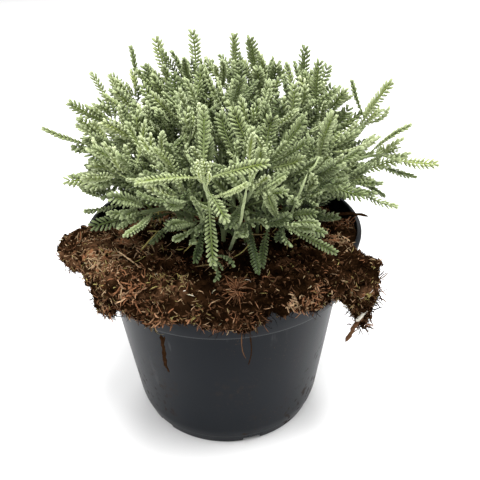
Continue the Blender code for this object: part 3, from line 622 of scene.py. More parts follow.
@dataclass(frozen=True)
class Pot:
    """The turned pot: its driving sizes, as in the solids, and its fine shell."""

    rim_radius: float = 0.085
    rim_height: float = 0.131
    lip_width: float = 0.0030
    lip_round: float = 0.0010
    lip_depth: float = 0.0030
    band_height: float = 0.030
    band_foot_radius: float = 0.0803
    shoulder_radius: float = 0.0742
    heel_radius: float = 0.0621
    heel_height: float = 0.012
    foot_radius: float = 0.0580
    foot_width: float = 0.0040
    foot_height: float = 0.0050
    floor_thickness: float = 0.0020
    wall: float = 0.0015
    pad_radius: float = 0.0200
    notch_count: int = 6
    notch_turn: float = math.radians(45.0)
    notch_width: float = 0.0130
    notch_height: float = 0.003
    notch_taper: float = 0.86
    groove: tuple[Pair, Pair] = ((0.0018, 0.0062), (0.0026, 0.0070))
    longest_run: float = 0.008
    drain_radius: float = 0.0045
    drain_circle: float = 0.0440
    sides: int = 144

    @property
    def ledge(self) -> float:
        """The height of the band's lower edge."""
        return self.rim_height - self.band_height

    def outer_radius(self, height: float) -> float:
        """Finds the outer radius of the wall or band at a height."""
        if height >= self.ledge:
            return mix(self.band_foot_radius, self.rim_radius,
                       (height - self.rim_height + self.band_height) / self.band_height)
        wall_height = self.rim_height - self.band_height - self.heel_height
        return mix(self.heel_radius, self.shoulder_radius, (height - self.heel_height) / wall_height)

    def profile(self) -> list[Triple]:
        """Lists the section from the axis below to the axis above.

        Returns:
            Radius, height and how widely each corner is rounded.
        """
        low = self.foot_height - self.floor_thickness
        return [
            (0.0, 0.0, 0.0), (self.pad_radius, 0.0, 0.0005), (self.pad_radius, low, 0.0005),
            (self.foot_radius - self.foot_width, low, 0.0008),
            (self.foot_radius - self.foot_width, 0.0, 0.0005), (self.foot_radius, 0.0, 0.0008),
            *((self.foot_radius + out, height, 0.0003) for out, height in self.groove),
            (self.heel_radius, self.heel_height, 0.0024),
            (self.shoulder_radius, self.ledge, 0.0008),
            (self.band_foot_radius, self.ledge, 0.0007),
            (self.rim_radius, self.rim_height - self.lip_round, 0.0006),
            (self.rim_radius - self.lip_round, self.rim_height, 0.0006),
            (self.rim_radius - self.lip_width, self.rim_height, 0.0006),
            (self.rim_radius - self.lip_width + self.lip_round, self.rim_height - self.lip_depth,
             0.0006),
            (self.band_foot_radius - self.wall, self.ledge + self.wall, 0.0010),
            (self.shoulder_radius - self.wall, self.ledge + self.wall, 0.0010),
            (self.heel_radius - self.wall, self.heel_height, 0.0040),
            (self.foot_radius - self.wall, self.foot_height, 0.0010), (0.0, self.foot_height, 0.0)]

    def rounded(self) -> list[Pair]:
        """Rounds the section's corners with short arcs and splits its long runs.

        Returns:
            Points of radius and height.
        """
        corners = self.profile()
        made: list[Vector] = [Vector(corners[0][:2])]
        for before, here, after in zip(corners, corners[1:], corners[2:]):
            corner = Vector(here[:2])
            back = Vector(before[:2]) - corner
            ahead = Vector(after[:2]) - corner
            cut = min(here[2], 0.45 * back.length, 0.45 * ahead.length)
            start = corner + back.normalized() * cut
            end = corner + ahead.normalized() * cut
            for step in range(4):
                share = step / 3.0
                made.append(start.lerp(corner, share).lerp(corner.lerp(end, share), share))
        made.append(Vector(corners[-1][:2]))
        split: list[Pair] = [tuple(made[0])]
        for a, b in zip(made, made[1:]):
            pieces = max(1, round((b - a).length / self.longest_run))
            split += [tuple(a.lerp(b, (step + 1) / pieces)) for step in range(pieces)]
        return split

    def build(self, material: bpy.types.Material) -> bpy.types.Object:
        """Turns the shell and cuts its notches and drain holes.

        Args:
            material: The plastic.

        Returns:
            The finished piece.
        """
        section = self.rounded()
        turn = TWO_PI * np.arange(self.sides) / self.sides
        rings = np.array([[(r * math.cos(a), r * math.sin(a), z) for a in turn]
                          for r, z in section[1:-1]])
        count = len(rings)
        points = np.concatenate((rings.reshape(-1, 3), [(0.0, 0.0, section[0][1]),
                                                        (0.0, 0.0, section[-1][1])]))
        k = np.arange(self.sides)
        after = (k + 1) % self.sides
        faces = [np.stack((np.full(self.sides, len(points) - 2), after, k), 1)]
        for ring in range(count - 1):
            low, high = ring * self.sides, (ring + 1) * self.sides
            faces.append(np.stack((low + k, low + after, high + after), 1))
            faces.append(np.stack((low + k, high + after, high + k), 1))
        top = (count - 1) * self.sides
        faces.append(np.stack((top + k, top + after, np.full(self.sides, len(points) - 1)), 1))
        pot = mesh_object("pot_shell", points, np.concatenate(faces), material)
        self.cut(pot)
        keep(pot, Slot.PLASTIC, "pot")
        return pot

    def cut(self, pot: bpy.types.Object) -> None:
        """Cuts the notches between the feet and the drain holes.

        Args:
            pot: The turned shell.
        """
        half, high = self.notch_width / 2.0, self.notch_height
        box = np.array([(0, 2, 1), (0, 3, 2), (4, 5, 6), (4, 6, 7), (0, 1, 5), (0, 5, 4),
                        (1, 2, 6), (1, 6, 5), (2, 3, 7), (2, 7, 6), (3, 0, 4), (3, 4, 7)])
        drain = np.array([(0, 0, -0.002), (0, 0, -0.0019), (0, 0, 0.0079), (0, 0, 0.008)])
        bite = Bundle()
        for index in range(self.notch_count):
            angle = self.notch_turn + TWO_PI * index / self.notch_count
            bearing = Vector((math.cos(angle), math.sin(angle), 0.0))
            across = Vector((-bearing.y, bearing.x, 0.0))
            corners = []
            for out in (self.foot_radius - 1.5 * self.foot_width,
                        self.foot_radius + 1.5 * self.foot_width):
                for side, height in ((-half, -high), (half, -high), (half * self.notch_taper, high),
                                     (-half * self.notch_taper, high)):
                    corners.append(tuple(bearing * out + across * side + UP * height))
            bite.add(np.array(corners), box, np.zeros(8))
            path = np.array(bearing * self.drain_circle) + drain
            bite.strands(path[None], np.full((1, 4), self.drain_radius), 24, np.zeros(1))
        cutter = bite.to_object("pot_cutter", pot.data.materials[0])
        boolean = pot.modifiers.new("notches", "BOOLEAN")
        boolean.object = cutter
        boolean.operation = "DIFFERENCE"
        boolean.solver = "EXACT"
        depsgraph = bpy.context.evaluated_depsgraph_get()
        mesh = bpy.data.meshes.new_from_object(pot.evaluated_get(depsgraph))
        pot.modifiers.clear()
        pot.data = mesh
        mesh.set_sharp_from_angle(angle=math.radians(40.0))
        bpy.data.objects.remove(cutter)


@dataclass(frozen=True)
class Mat:
    """The fibrous mat on top of the root ball: where it lies, bulges and hangs over the rim."""

    pot: Pot
    crown_height: float = 0.1290
    back_edge_height: float = 0.1190
    front_edge_height: float = 0.1365
    relief: float = 0.0022
    relief_scale: float = 95.0
    edge_radius: float = 0.0815
    heap_middle: float = math.radians(271.0)
    heap_half_angle: float = math.radians(86.0)
    spill_middle: float = math.radians(259.5)
    spill_half_angle: float = math.radians(74.0)
    arc_fade: float = math.radians(7.0)
    overhang: float = 0.0048
    overhang_noise: float = 0.0034
    hem_height: float = 0.1175
    hem_noise: float = 0.0075
    edge_noise_scale: float = 9.0
    bulges: tuple[Triple, ...] = (
        (192.0, 13.0, 0.0075), (202.0, 4.0, 0.0030), (212.0, 4.0, -0.0050), (222.0, 10.0, 0.0040),
        (243.0, 8.0, 0.0030), (326.5, 7.0, 0.0128))
    sags: tuple[Triple, ...] = (
        (193.0, 8.0, 0.0050), (203.0, 6.0, -0.0060), (222.0, 7.0, 0.0120), (240.0, 6.0, 0.0060),
        (277.0, 5.0, 0.0050), (328.5, 6.5, 0.0345))
    columns: int = 380
    top_rings: int = 36
    hang_steps: int = 6

    def arc_share(self, angle: float, middle: float, half_angle: float) -> float:
        """Tells how far a bearing lies inside an arc.

        Args:
            angle: The bearing.
            middle: The arc's middle.
            half_angle: Half the arc's width.

        Returns:
            1 along the arc and 0 beyond it, with a short fade between.
        """
        apart = abs((angle - middle + math.pi) % TWO_PI - math.pi)
        share = min(1.0, max(0.0, (half_angle - apart) / self.arc_fade))
        return share * share * (3.0 - 2.0 * share)

    def spill(self, angle: float) -> float:
        """Tells where the mat hangs over the rim: 1 there, and 0 where it stays inside."""
        return self.arc_share(angle, self.spill_middle, self.spill_half_angle)

    def height(self, x: float, y: float) -> float:
        """Finds the height of the mat's top at a point."""
        angle = math.atan2(y, x)
        out = min(1.0, math.hypot(x, y) / self.pot.rim_radius)
        heap = self.arc_share(angle, self.heap_middle, self.heap_half_angle)
        edge = mix(self.back_edge_height, self.front_edge_height, heap)
        relief = self.relief * (wave(x, y, self.relief_scale)
                                + 0.5 * wave(x, y, 2.3 * self.relief_scale, 4.0))
        return mix(self.crown_height, edge, out * out) + relief * min(1.0, out * 2.0)

    def reach(self, angle: float) -> float:
        """Finds how far the mat hangs out past the rim at a bearing."""
        rough = self.overhang_noise * wave(math.cos(angle), math.sin(angle),
                                           self.edge_noise_scale, 2.0)
        return self.overhang + rough + sum(size * hump(angle, middle, width)
                                           for middle, width, size in self.bulges)

    def hem(self, angle: float) -> float:
        """Finds how low the mat hangs at a bearing."""
        rough = self.hem_noise * wave(math.cos(angle), math.sin(angle), self.edge_noise_scale, 7.0)
        return self.hem_height + rough - sum(size * hump(angle, middle, width)
                                             for middle, width, size in self.sags)

    def section(self, angle: float) -> list[Pair]:
        """Lists the mat's section at a bearing, from near the axis to below the ledge.

        Args:
            angle: The bearing.

        Returns:
            Points of radius and height.
        """
        pot = self.pot
        hang = self.spill(angle)
        cos, sin = math.cos(angle), math.sin(angle)
        edge = self.height(pot.rim_radius * cos, pot.rim_radius * sin)
        reach, hem = self.reach(angle), self.hem(angle)
        start, end = 0.004, self.edge_radius - 0.006
        column = []
        for step in range(self.top_rings):
            out = mix(start, end, step / (self.top_rings - 1.0))
            column.append((out, self.height(out * cos, out * sin)))
        hanging = [(self.edge_radius, edge + 0.0010),
                   (pot.rim_radius + 0.4 * reach, edge - 0.0015),
                   (pot.rim_radius + reach, pot.rim_height - 0.0020),
                   (pot.rim_radius + 0.9 * reach, mix(pot.rim_height - 0.0020, hem, 0.6)),
                   (pot.rim_radius - 0.0020 + 0.7 * reach, hem),
                   (pot.band_foot_radius, max(hem, pot.ledge) + 0.0040)]
        points = []
        for step, (out, height) in enumerate(hanging):
            inside_height = mix(min(edge, pot.rim_height - pot.lip_depth), pot.ledge + 0.0030,
                                step / (len(hanging) - 1.0))
            inside = pot.outer_radius(inside_height) - pot.wall / 2.0
            points.append(Vector((mix(inside, out, hang), mix(inside_height, height, hang), 0.0)))
        line = [Vector((*column[-1], 0.0))] + points
        for index in range(len(line) - 1):
            before = line[max(0, index - 1)]
            after = line[min(len(line) - 1, index + 2)]
            a, b = line[index], line[index + 1]
            for step in range(self.hang_steps):
                place = cubic(a, a + (b - before) / 6.0, b - (after - a) / 6.0, b,
                              (step + 1) / self.hang_steps)
                column.append((place.x, place.y))
        return column + [(pot.band_foot_radius - pot.wall / 2.0, pot.ledge + pot.wall / 2.0),
                         (pot.shoulder_radius - pot.wall / 2.0, pot.ledge + pot.wall / 2.0),
                         (pot.heel_radius - pot.wall / 2.0, pot.heel_height),
                         (pot.foot_radius - pot.wall / 2.0,
                          pot.foot_height - pot.floor_thickness / 2.0)]

    @property
    def hem_row(self) -> int:
        """The row of the fine section that lies at the hem."""
        return self.top_rings + 5 * self.hang_steps - 1


@dataclass(frozen=True)
class Camera:
    """The camera at the photograph's viewing angle."""

    lens: float = 45.0
    sensor: float = 36.0
    frame_width: float = 480.0
    elevation: float = math.radians(29.2)
    roll: float = math.radians(-1.06)
    distance: float = 0.382
    target: Triple = (0.0099, 0.0, 0.117)

    def axes(self) -> tuple[Vector, Vector, Vector]:
        """Finds the directions to the camera's right, up and back."""
        back = Vector((0.0, -math.cos(self.elevation), math.sin(self.elevation)))
        right = Vector((1.0, 0.0, 0.0))
        up = back.cross(right)
        cos, sin = math.cos(self.roll), math.sin(self.roll)
        return right * cos + up * sin, up * cos - right * sin, back

    def place(self) -> Vector:
        """Finds where the camera stands."""
        return Vector(self.target) + self.axes()[2] * self.distance

    def pixel(self, spots: Array) -> tuple[Array, Array]:
        """Finds where spots show in the photograph's frame.

        Args:
            spots: The spots, one a row.

        Returns:
            Pixels to the right, and pixels down.
        """
        right, up, back = (np.array(axis) for axis in self.axes())
        apart = spots - np.array(self.place())
        scale = self.lens / self.sensor * self.frame_width / -(apart @ back)
        half = self.frame_width / 2.0
        return half + (apart @ right) * scale, half - (apart @ up) * scale

    def build(self) -> None:
        """Places the camera."""
        data = bpy.data.cameras.new("camera")
        data.lens = self.lens
        data.sensor_width = self.sensor
        data.clip_start = 0.01
        camera = bpy.data.objects.new("camera", data)
        turn = Matrix(self.axes()).transposed().to_4x4()
        camera.matrix_world = Matrix.Translation(self.place()) @ turn
        bpy.context.scene.collection.objects.link(camera)
        bpy.context.scene.camera = camera


@dataclass(frozen=True)
class Patch:
    """A patch or clump of the mat: the pixel that shows it, its radius in metres and its tone."""

    across: float
    down: float
    size: float
    tone: Tone

    @classmethod
    def measured(cls, across: float, down: float, size: float, tone: Tone) -> Patch:
        """Makes a patch of a row whose radius is in millimetres."""
        return cls(across, down, size / 1000.0, tone)


# Broad patches of colour on the mat: pixels to the right and down, radius in mm, and tone
PATCHES = tuple(Patch.measured(*row) for row in (
    (90, 237, 13, TAN), (125, 228, 16, MOSS), (150, 222, 12, STRAW), (78, 262, 10, UMBER),
    (110, 262, 14, TAN), (105, 275, 10, MOSS), (122, 244, 14, TAN), (96, 249, 12, MOSS),
    (152, 246, 10, TAN), (172, 262, 9, UMBER), (132, 288, 13, UMBER), (158, 316, 10, UMBER),
    (182, 245, 14, PEAT), (180, 292, 13, MOSS), (228, 260, 6, UMBER), (205, 302, 9, BARK),
    (240, 292, 8, BARK), (244, 315, 7, UMBER), (255, 262, 18, PEAT), (280, 295, 10, BARK),
    (215, 276, 12, PEAT), (268, 308, 8, PEAT), (298, 304, 8, TAN), (300, 262, 12, UMBER),
    (338, 242, 13, TAN), (350, 226, 10, RUST), (328, 226, 10, MOSS), (350, 262, 10, BARK),
    (372, 286, 12, BARK), (364, 296, 9, MOSS), (362, 315, 10, UMBER)))

# Frayed clumps that stand out of the mat, in the same way
CLUMPS = tuple(Patch.measured(*row) for row in (
    (118, 280, 7.5, RUST), (129, 284, 8, RUST), (141, 283, 7.5, RUST), (124, 292, 7, RUST),
    (137, 296, 7, RUST), (152, 289, 6, UMBER), (150, 306, 7, RUST), (158, 318, 7.5, RUST),
    (168, 322, 6.5, RUST), (70, 252, 8, UMBER), (76, 264, 8, UMBER), (86, 240, 6, MOSS),
    (96, 262, 6, MOSS), (104, 300, 7.5, UMBER), (109, 308, 7, RUST), (219, 262, 6, UMBER),
    (230, 258, 6, TAN), (224, 284, 5.5, UMBER), (236, 318, 7, UMBER), (250, 322, 6.5, UMBER),
    (274, 294, 6, BARK), (284, 288, 5.5, BARK), (292, 301, 6, TAN), (301, 307, 5.5, TAN),
    (312, 296, 6, UMBER), (326, 236, 6.5, RUST), (338, 244, 7.5, TAN), (348, 236, 7.5, UMBER),
    (350, 222, 7, RUST), (344, 268, 6.5, BARK), (360, 274, 7.5, BARK), (374, 284, 7.5, UMBER),
    (378, 298, 6.5, BARK), (368, 312, 7, BARK), (362, 324, 6.5, UMBER), (196, 314, 6, UMBER)))

# Twigs, long roots and old stalks: start, middle and end, radius, all in metres, and tone
TWIGS = (
    ((-0.032, -0.086, 0.110), (-0.030, -0.090, 0.100), (-0.031, -0.088, 0.089), 0.0011, BARK),
    ((-0.030, -0.086, 0.109), (-0.033, -0.090, 0.098), (-0.029, -0.087, 0.085), 0.0007, BARK),
    ((0.010, -0.089, 0.112), (0.009, -0.088, 0.100), (0.012, -0.083, 0.090), 0.0003, UMBER),
    ((0.014, -0.090, 0.111), (0.016, -0.087, 0.097), (0.013, -0.081, 0.084), 0.0004, BARK),
    ((0.063, -0.010, 0.1385), (0.076, -0.010, 0.1410), (0.0885, -0.010, 0.1372), 0.0012, BARK),
    ((0.080, -0.055, 0.101), (0.0745, -0.059, 0.092), (0.069, -0.063, 0.084), 0.0017, UMBER),
    ((0.0815, -0.054, 0.102), (0.079, -0.058, 0.100), (0.0745, -0.061, 0.097), 0.0016, PAPER),
    ((-0.052, -0.058, 0.136), (-0.060, -0.062, 0.135), (-0.064, -0.070, 0.127), 0.0006, TAN),
    ((-0.058, -0.046, 0.137), (-0.050, -0.056, 0.138), (-0.042, -0.064, 0.136), 0.0005, TAN),
    ((-0.070, -0.050, 0.136), (-0.062, -0.052, 0.1385), (-0.054, -0.050, 0.1365), 0.0005, TAN))


@dataclass
class Ground:
    """The fine mat: its bed, and the fibres, moss, crumbs, tufts and roots that grow out of it."""

    mat: Mat
    camera: Camera
    material: bpy.types.Material
    seed: int = 11
    chances: tuple[float, ...] = (0.30, 0.34, 0.26, 0.10, 0.07, 0.07, 0.01)
    patch_pull: float = 2.2
    needles: Pair = (237.0, 291.0)
    blades: tuple[Pair, ...] = (
        (143.0, 221.0), (150.0, 217.0), (157.0, 213.0), (163.0, 216.0), (154.0, 221.0))

    def __post_init__(self) -> None:
        """Starts the random source and lays the bed."""
        self.draw = np.random.default_rng(self.seed)
        self.lay()

    def put(self, name: str, bundle: Bundle) -> None:
        """Turns what was gathered into one piece of litter."""
        keep(bundle.to_object(name, self.material), Slot.SUBSTRATE)

    def spot(self, across: float, down: float) -> tuple[Array, Array]:
        """Finds the bed's point that the camera sees at a pixel.

        Args:
            across: Pixels to the right in the photograph's frame.
            down: Pixels down.

        Returns:
            The point and its outward direction.
        """
        points, normals = self.grid[self.bare], self.normal[self.bare]
        x, y = self.camera.pixel(points)
        seen = ((np.array(self.camera.place()) - points) * normals).sum(axis=1) > 0.0
        index = int(np.argmin(np.hypot(x - across, y - down) + np.where(seen, 0.0, 1000.0)))
        return points[index], normals[index]

    def tone_at(self, places: Array, spread: float) -> Array:
        """Picks tones for places, by the patch they lie in, and darker low in the bed's hollows as
        painted shade.

        Args:
            places: The places, one a row.
            spread: How much the tone varies inside a kind.

        Returns:
            A tone for each place.
        """
        kinds = np.array([kind.value for kind in Tone if kind is not PAPER])
        chance = np.tile(np.array(self.chances), (len(places), 1))
        for patch, middle in self.patches:
            apart = np.linalg.norm(places - middle, axis=1) / patch.size
            column = int(np.argmin(np.abs(kinds - patch.tone.value)))
            chance[:, column] += self.patch_pull * np.exp(-apart**2)
        total = np.cumsum(chance, axis=1)
        picked = (self.draw.random((len(places), 1)) * total[:, -1:] > total).sum(axis=1)
        tone = np.clip(kinds[picked] + self.draw.normal(0.0, spread, len(places)), 0.0, 1.0)
        # Painted shade: what lies low in the bed's hollows is darker
        rise = np.array([self.swell_at(Vector(place)) for place in places])
        return tone * np.clip((rise + 0.0028) / 0.0034, 0.38, 1.0)

    def swell_at(self, place: Vector) -> float:
        """Reads the bed's relief: lumps, and over them clods and crumbs with sharp hollows."""
        layered = Vector((place.x * 0.6, place.y * 1.3, place.z * 1.3))
        clods = 1.0 - 2.8 * abs(noise.noise(layered * 140.0))
        return (0.0034 * noise.noise(layered * 75.0) + 0.0020 * clods
                + 0.0009 * noise.noise(place * 360.0) + 0.0010 * noise.noise(place * 900.0))

    def lay(self) -> None:
        """Builds the bed from the mat's sections, roughened by noise, with painted shade in its hollows.
        """
        mat = self.mat
        turn = TWO_PI * np.arange(mat.columns) / mat.columns
        grid = np.array([[(out * math.cos(angle), out * math.sin(angle), height)
                          for out, height in mat.section(angle)] for angle in turn])
        along = np.gradient(grid, axis=1)
        around = np.roll(grid, -1, axis=0) - np.roll(grid, 1, axis=0)
        normal = unit(np.cross(along, around))
        swell = np.zeros(grid.shape[:2])
        self.bare = np.zeros(grid.shape[:2], dtype=bool)
        for i, angle in enumerate(turn):
            free = mat.hem_row if mat.spill(angle) > 0.5 else mat.top_rings - 1
            self.bare[i, :free] = True
            for j in range(free):
                swell[i, j] = self.swell_at(Vector(grid[i, j])) * (0.85 if j > mat.top_rings else 1.0)
        grid += normal * swell[:, :, None]
        self.grid, self.normal, self.swell = grid, normal, swell
        columns, rows = grid.shape[:2]
        foot = mat.pot.foot_height - mat.pot.floor_thickness / 2.0
        points = np.concatenate((grid.reshape(-1, 3),
                                 [(0.0, 0.0, mat.height(0.0, 0.0)), (0.0, 0.0, foot)]))
        i, j = np.meshgrid(np.arange(columns), np.arange(rows - 1), indexing="ij")
        here = (i * rows + j).ravel()
        beside = (((i + 1) % columns) * rows + j).ravel()
        k = np.arange(columns)
        after = (k + 1) % columns
        top, low = np.full(columns, len(points) - 2), np.full(columns, len(points) - 1)
        faces = [np.stack((here, here + 1, beside + 1), 1), np.stack((here, beside + 1, beside), 1),
                 np.stack((k * rows, after * rows, top), 1),
                 np.stack((after * rows + rows - 1, k * rows + rows - 1, low), 1)]
        self.patches = [(patch, self.spot(patch.across, patch.down)[0]) for patch in PATCHES]
        # Painted shade: the bed is darkest in its hollows and paler on its crests, where the patches
        # also show more
        crest = np.clip((swell.ravel() - 0.0006) / 0.0034, 0.0, 1.0)
        tone = 0.01 + 0.34 * crest**1.3
        for patch, middle in self.patches:
            apart = np.linalg.norm(grid.reshape(-1, 3) - middle, axis=1) / patch.size
            tone = mix(tone, patch.tone.value, 0.80 * np.exp(-apart**2) * mix(0.32, 1.0, crest))
        tone = np.append(tone, (0.1, 0.1))
        bed = Bundle()
        bed.add(points, np.concatenate(faces), tone)
        keep(bed.to_object("peat_bed", self.material), Slot.SUBSTRATE, "substrate")

    def scatter(self, count: int, first: int, last: int) -> tuple[Array, Array, Array]:
        """Picks random places on the bed, by area and more on its crests than in its hollows.

        Args:
            count: How many.
            first: The first row of the grid to use.
            last: The row to stop before.

        Returns:
            The places, the outward directions and the bearings.
        """
        grid = self.grid[:, first:last + 1]
        around = np.linalg.norm(np.roll(grid, -1, axis=0) - grid, axis=2)[:, :-1]
        along = np.linalg.norm(grid[:, 1:] - grid[:, :-1], axis=2)
        inside = np.array([self.mat.spill(TWO_PI * i / len(grid)) < 0.5 for i in range(len(grid))])
        buried = inside[:, None] & (np.arange(first, last) >= self.mat.top_rings - 1)[None, :]
        crest = np.clip((self.swell[:, first:last] + 0.0012) / 0.0040, 0.06, 1.0)
        area = np.where(buried, 0.0, around * along * crest).ravel()
        picked = self.draw.choice(len(area), count, p=area / area.sum())
        i, j = np.divmod(picked, last - first)
        s, t = self.draw.random((2, count, 1))
        after = (i + 1) % len(grid)
        places = mix(mix(grid[i, j], grid[i, j + 1], s), mix(grid[after, j], grid[after, j + 1], s), t)
        bearing = np.arctan2(places[:, 1], places[:, 0])
        return places, self.normal[i, j + first], bearing

    def hanging(self, bearing: Array) -> Array:
        """Tells which bearings have the mat over the rim."""
        return np.array([self.mat.spill(angle) > 0.5 for angle in bearing])

    def wander(self, places: Array, ways: Array, lengths: Array, curl: float,
               stations: int, droop: float = 0.0) -> Array:
        """Grows curved centre lines.

        Args:
            places: Where they start.
            ways: Their first directions.
            lengths: How long they are.
            curl: How much they turn at each step.
            stations: How many points each has.
            droop: How much they bend down at each step.

        Returns:
            The lines, as (strand, station, coordinate).
        """
        line = [places]
        way = unit(ways)
        bend = self.draw.normal(0.0, curl, ways.shape)
        for _ in range(stations - 1):
            bend += self.draw.normal(0.0, curl * 0.7, ways.shape)
            way = unit(way + bend + np.array([0.0, 0.0, -droop]))
            line.append(line[-1] + way * (lengths / (stations - 1))[:, None])
        return np.stack(line, axis=1)

    def fibres(self) -> None:
        """Lays fine coir and roots over the mat, most of them sideways, and frays its edge."""
        top_end = self.mat.top_rings + self.mat.hang_steps
        along = np.linspace(0.0, 1.0, 4)
        shape = np.interp(along, [0.0, 0.15, 0.7, 1.0], [0.5, 1.0, 0.9, 0.4])
        hug = np.sin(along * math.pi)[None, :, None]
        for name, count, first, last, lift, droop, longest in (
                ("coir_fibres", 5200, 5, top_end, 0.16, 0.0, 0.011),
                ("hem_fibres", 4700, top_end - 2, self.mat.hem_row + 3, 0.45, 0.16, 0.0052)):
            bundle = Bundle()
            places, normals, bearing = self.scatter(count, first, last)
            sideways = self.draw.normal(0.0, 1.0, normals.shape) * np.array([2.8, 0.9, 0.8])
            way = unit(sideways - normals * (sideways * normals).sum(axis=1)[:, None])
            way = unit(way + normals * self.draw.uniform(-0.05, lift, (count, 1)))
            lengths = np.minimum(0.0016 + self.draw.gamma(1.8, 0.0014, count), longest)
            lengths = np.minimum(lengths, np.where(self.hanging(bearing), 0.013, 0.006))
            paths = self.wander(places - normals * 0.0004, way, lengths, 0.24, len(along), droop)
            paths += normals[:, None, :] * 0.0007 * hug
            radii = self.draw.uniform(0.00010, 0.00030, count)[:, None] * shape
            bundle.strands(paths, radii, 3, self.tone_at(places, 0.07))
            self.put(name, bundle)

    def crumbs(self) -> None:
        """Scatters peat crumbs and bark grains."""
        bundle = Bundle()
        places, normals, _ = self.scatter(2500, 2, self.mat.hem_row + 2)
        size = np.minimum(self.draw.gamma(2.0, 0.00036, len(places)) + 0.00030, 0.0020)
        tone = self.tone_at(places, 0.04)
        dark = self.draw.random(len(places)) < 0.50 + 400.0 * size
        tone[dark] = self.draw.uniform(0.0, 0.30, int(dark.sum()))
        bundle.lumps(places + normals * size[:, None] * 0.25, size, tone, self.draw)
        grains = bundle.to_object("peat_crumbs", self.material)
        grains.data.shade_flat()
        keep(grains, Slot.SUBSTRATE)

    def moss(self) -> None:
        """Grows small tufts of moss and frayed fibre, thicker where the patches are."""
        bundle = Bundle()
        places, normals, _ = self.scatter(460, 4, self.mat.hem_row)
        tones = self.tone_at(places, 0.03)
        blades = 7
        root = np.repeat(places, blades, axis=0)
        out = np.repeat(normals, blades, axis=0)
        way = unit(out * 0.6 + self.draw.normal(0.0, 0.6, root.shape))
        lengths = self.draw.uniform(0.0010, 0.0030, len(root))
        paths = self.wander(root - out * 0.0003, way, lengths, 0.30, 4)
        radii = self.draw.uniform(0.00013, 0.00028, len(root))[:, None] * np.array([0.0, 1.0, 0.8, 0.0])
        tone = np.clip(np.repeat(tones, blades) + self.draw.normal(0.0, 0.03, len(root)), 0.0, 1.0)
        bundle.strands(paths, radii, 3, tone)
        self.put("moss_tufts", bundle)

    def tufts(self) -> None:
        """Builds the knobbly clumps and the tuft of needles that stand out of the mat's front."""
        bundle = Bundle()
        shape = np.array([0.0, 0.9, 1.0, 1.0, 1.0, 0.9, 0.8, 0.0])
        for clump in CLUMPS:
            point, out = self.spot(clump.across, clump.down)
            blades = 36
            root = point + self.draw.normal(0.0, 0.36, (blades, 3)) * clump.size
            root -= out * np.maximum((root - point) @ out, 0.0)[:, None]
            way = unit(out * 0.6 + self.draw.normal(0.0, 0.8, root.shape))
            lengths = self.draw.uniform(0.55, 1.25, blades) * clump.size
            paths = self.wander(root - out * 0.0006, way, lengths, 0.75, len(shape), 0.06)
            radii = self.draw.uniform(0.00020, 0.00050, blades)[:, None] * shape
            tone = np.clip(clump.tone.value + self.draw.normal(-0.04, 0.11, blades), 0.0, 0.70)
            bundle.strands(paths, radii, 3, tone)
        point, out = self.spot(*self.needles)
        blades = 70
        way = unit(out * 0.9 + self.draw.normal(0.0, 0.65, (blades, 3)))
        lengths = self.draw.uniform(0.005, 0.012, blades)
        paths = self.wander(np.tile(point, (blades, 1)) - out * 0.001, way, lengths, 0.10, 8, 0.05)
        radii = self.draw.uniform(0.00012, 0.00024, blades)[:, None] * shape
        tone = np.clip(0.42 + self.draw.normal(0.0, 0.09, blades), 0.0, 1.0)
        bundle.strands(paths, radii, 3, tone)
        self.put("rust_tufts", bundle)

    def roots(self) -> None:
        """Hangs fine roots and frayed ends below the hem."""
        bundle = Bundle()
        places, normals, bearing = self.scatter(460, self.mat.hem_row - 3, self.mat.hem_row + 3)
        kept = self.hanging(bearing)
        places, normals = places[kept], normals[kept]
        number = len(places)
        down = np.array([0.0, 0.0, -0.8])
        way = unit(normals * 0.6 + down + self.draw.normal(0.0, 0.35, places.shape))
        lengths = np.minimum(self.draw.gamma(1.6, 0.0019, number) + 0.0012, 0.011)
        paths = self.wander(places - normals * 0.001, way, lengths, 0.22, 8, 0.10)
        radii = self.draw.uniform(0.00012, 0.00026, number)[:, None] * np.array(
            [0.0, 1.0, 1.0, 0.9, 0.8, 0.7, 0.5, 0.0])
        bundle.strands(paths, radii, 3, self.tone_at(places, 0.05))
        self.put("hanging_roots", bundle)

    def twigs(self) -> None:
        """Adds the twigs, the long roots and the straw that the photograph shows."""
        bundle = Bundle()
        shares = np.linspace(0.0, 1.0, 16)[:, None]
        for start, middle, end, radius, tone in TWIGS:
            path = bow(*(np.array(point) for point in (start, middle, end)), shares)
            path[1:-1] += self.draw.normal(0.0, radius * 0.16, (14, 3))
            radii = radius * np.concatenate(([0.0], self.draw.uniform(0.8, 1.15, 14)
                                             * np.linspace(1.0, 0.7, 14), [0.0]))
            bundle.strands(path[None], radii[None], 7, np.array([tone.value]))
        self.put("twigs", bundle)

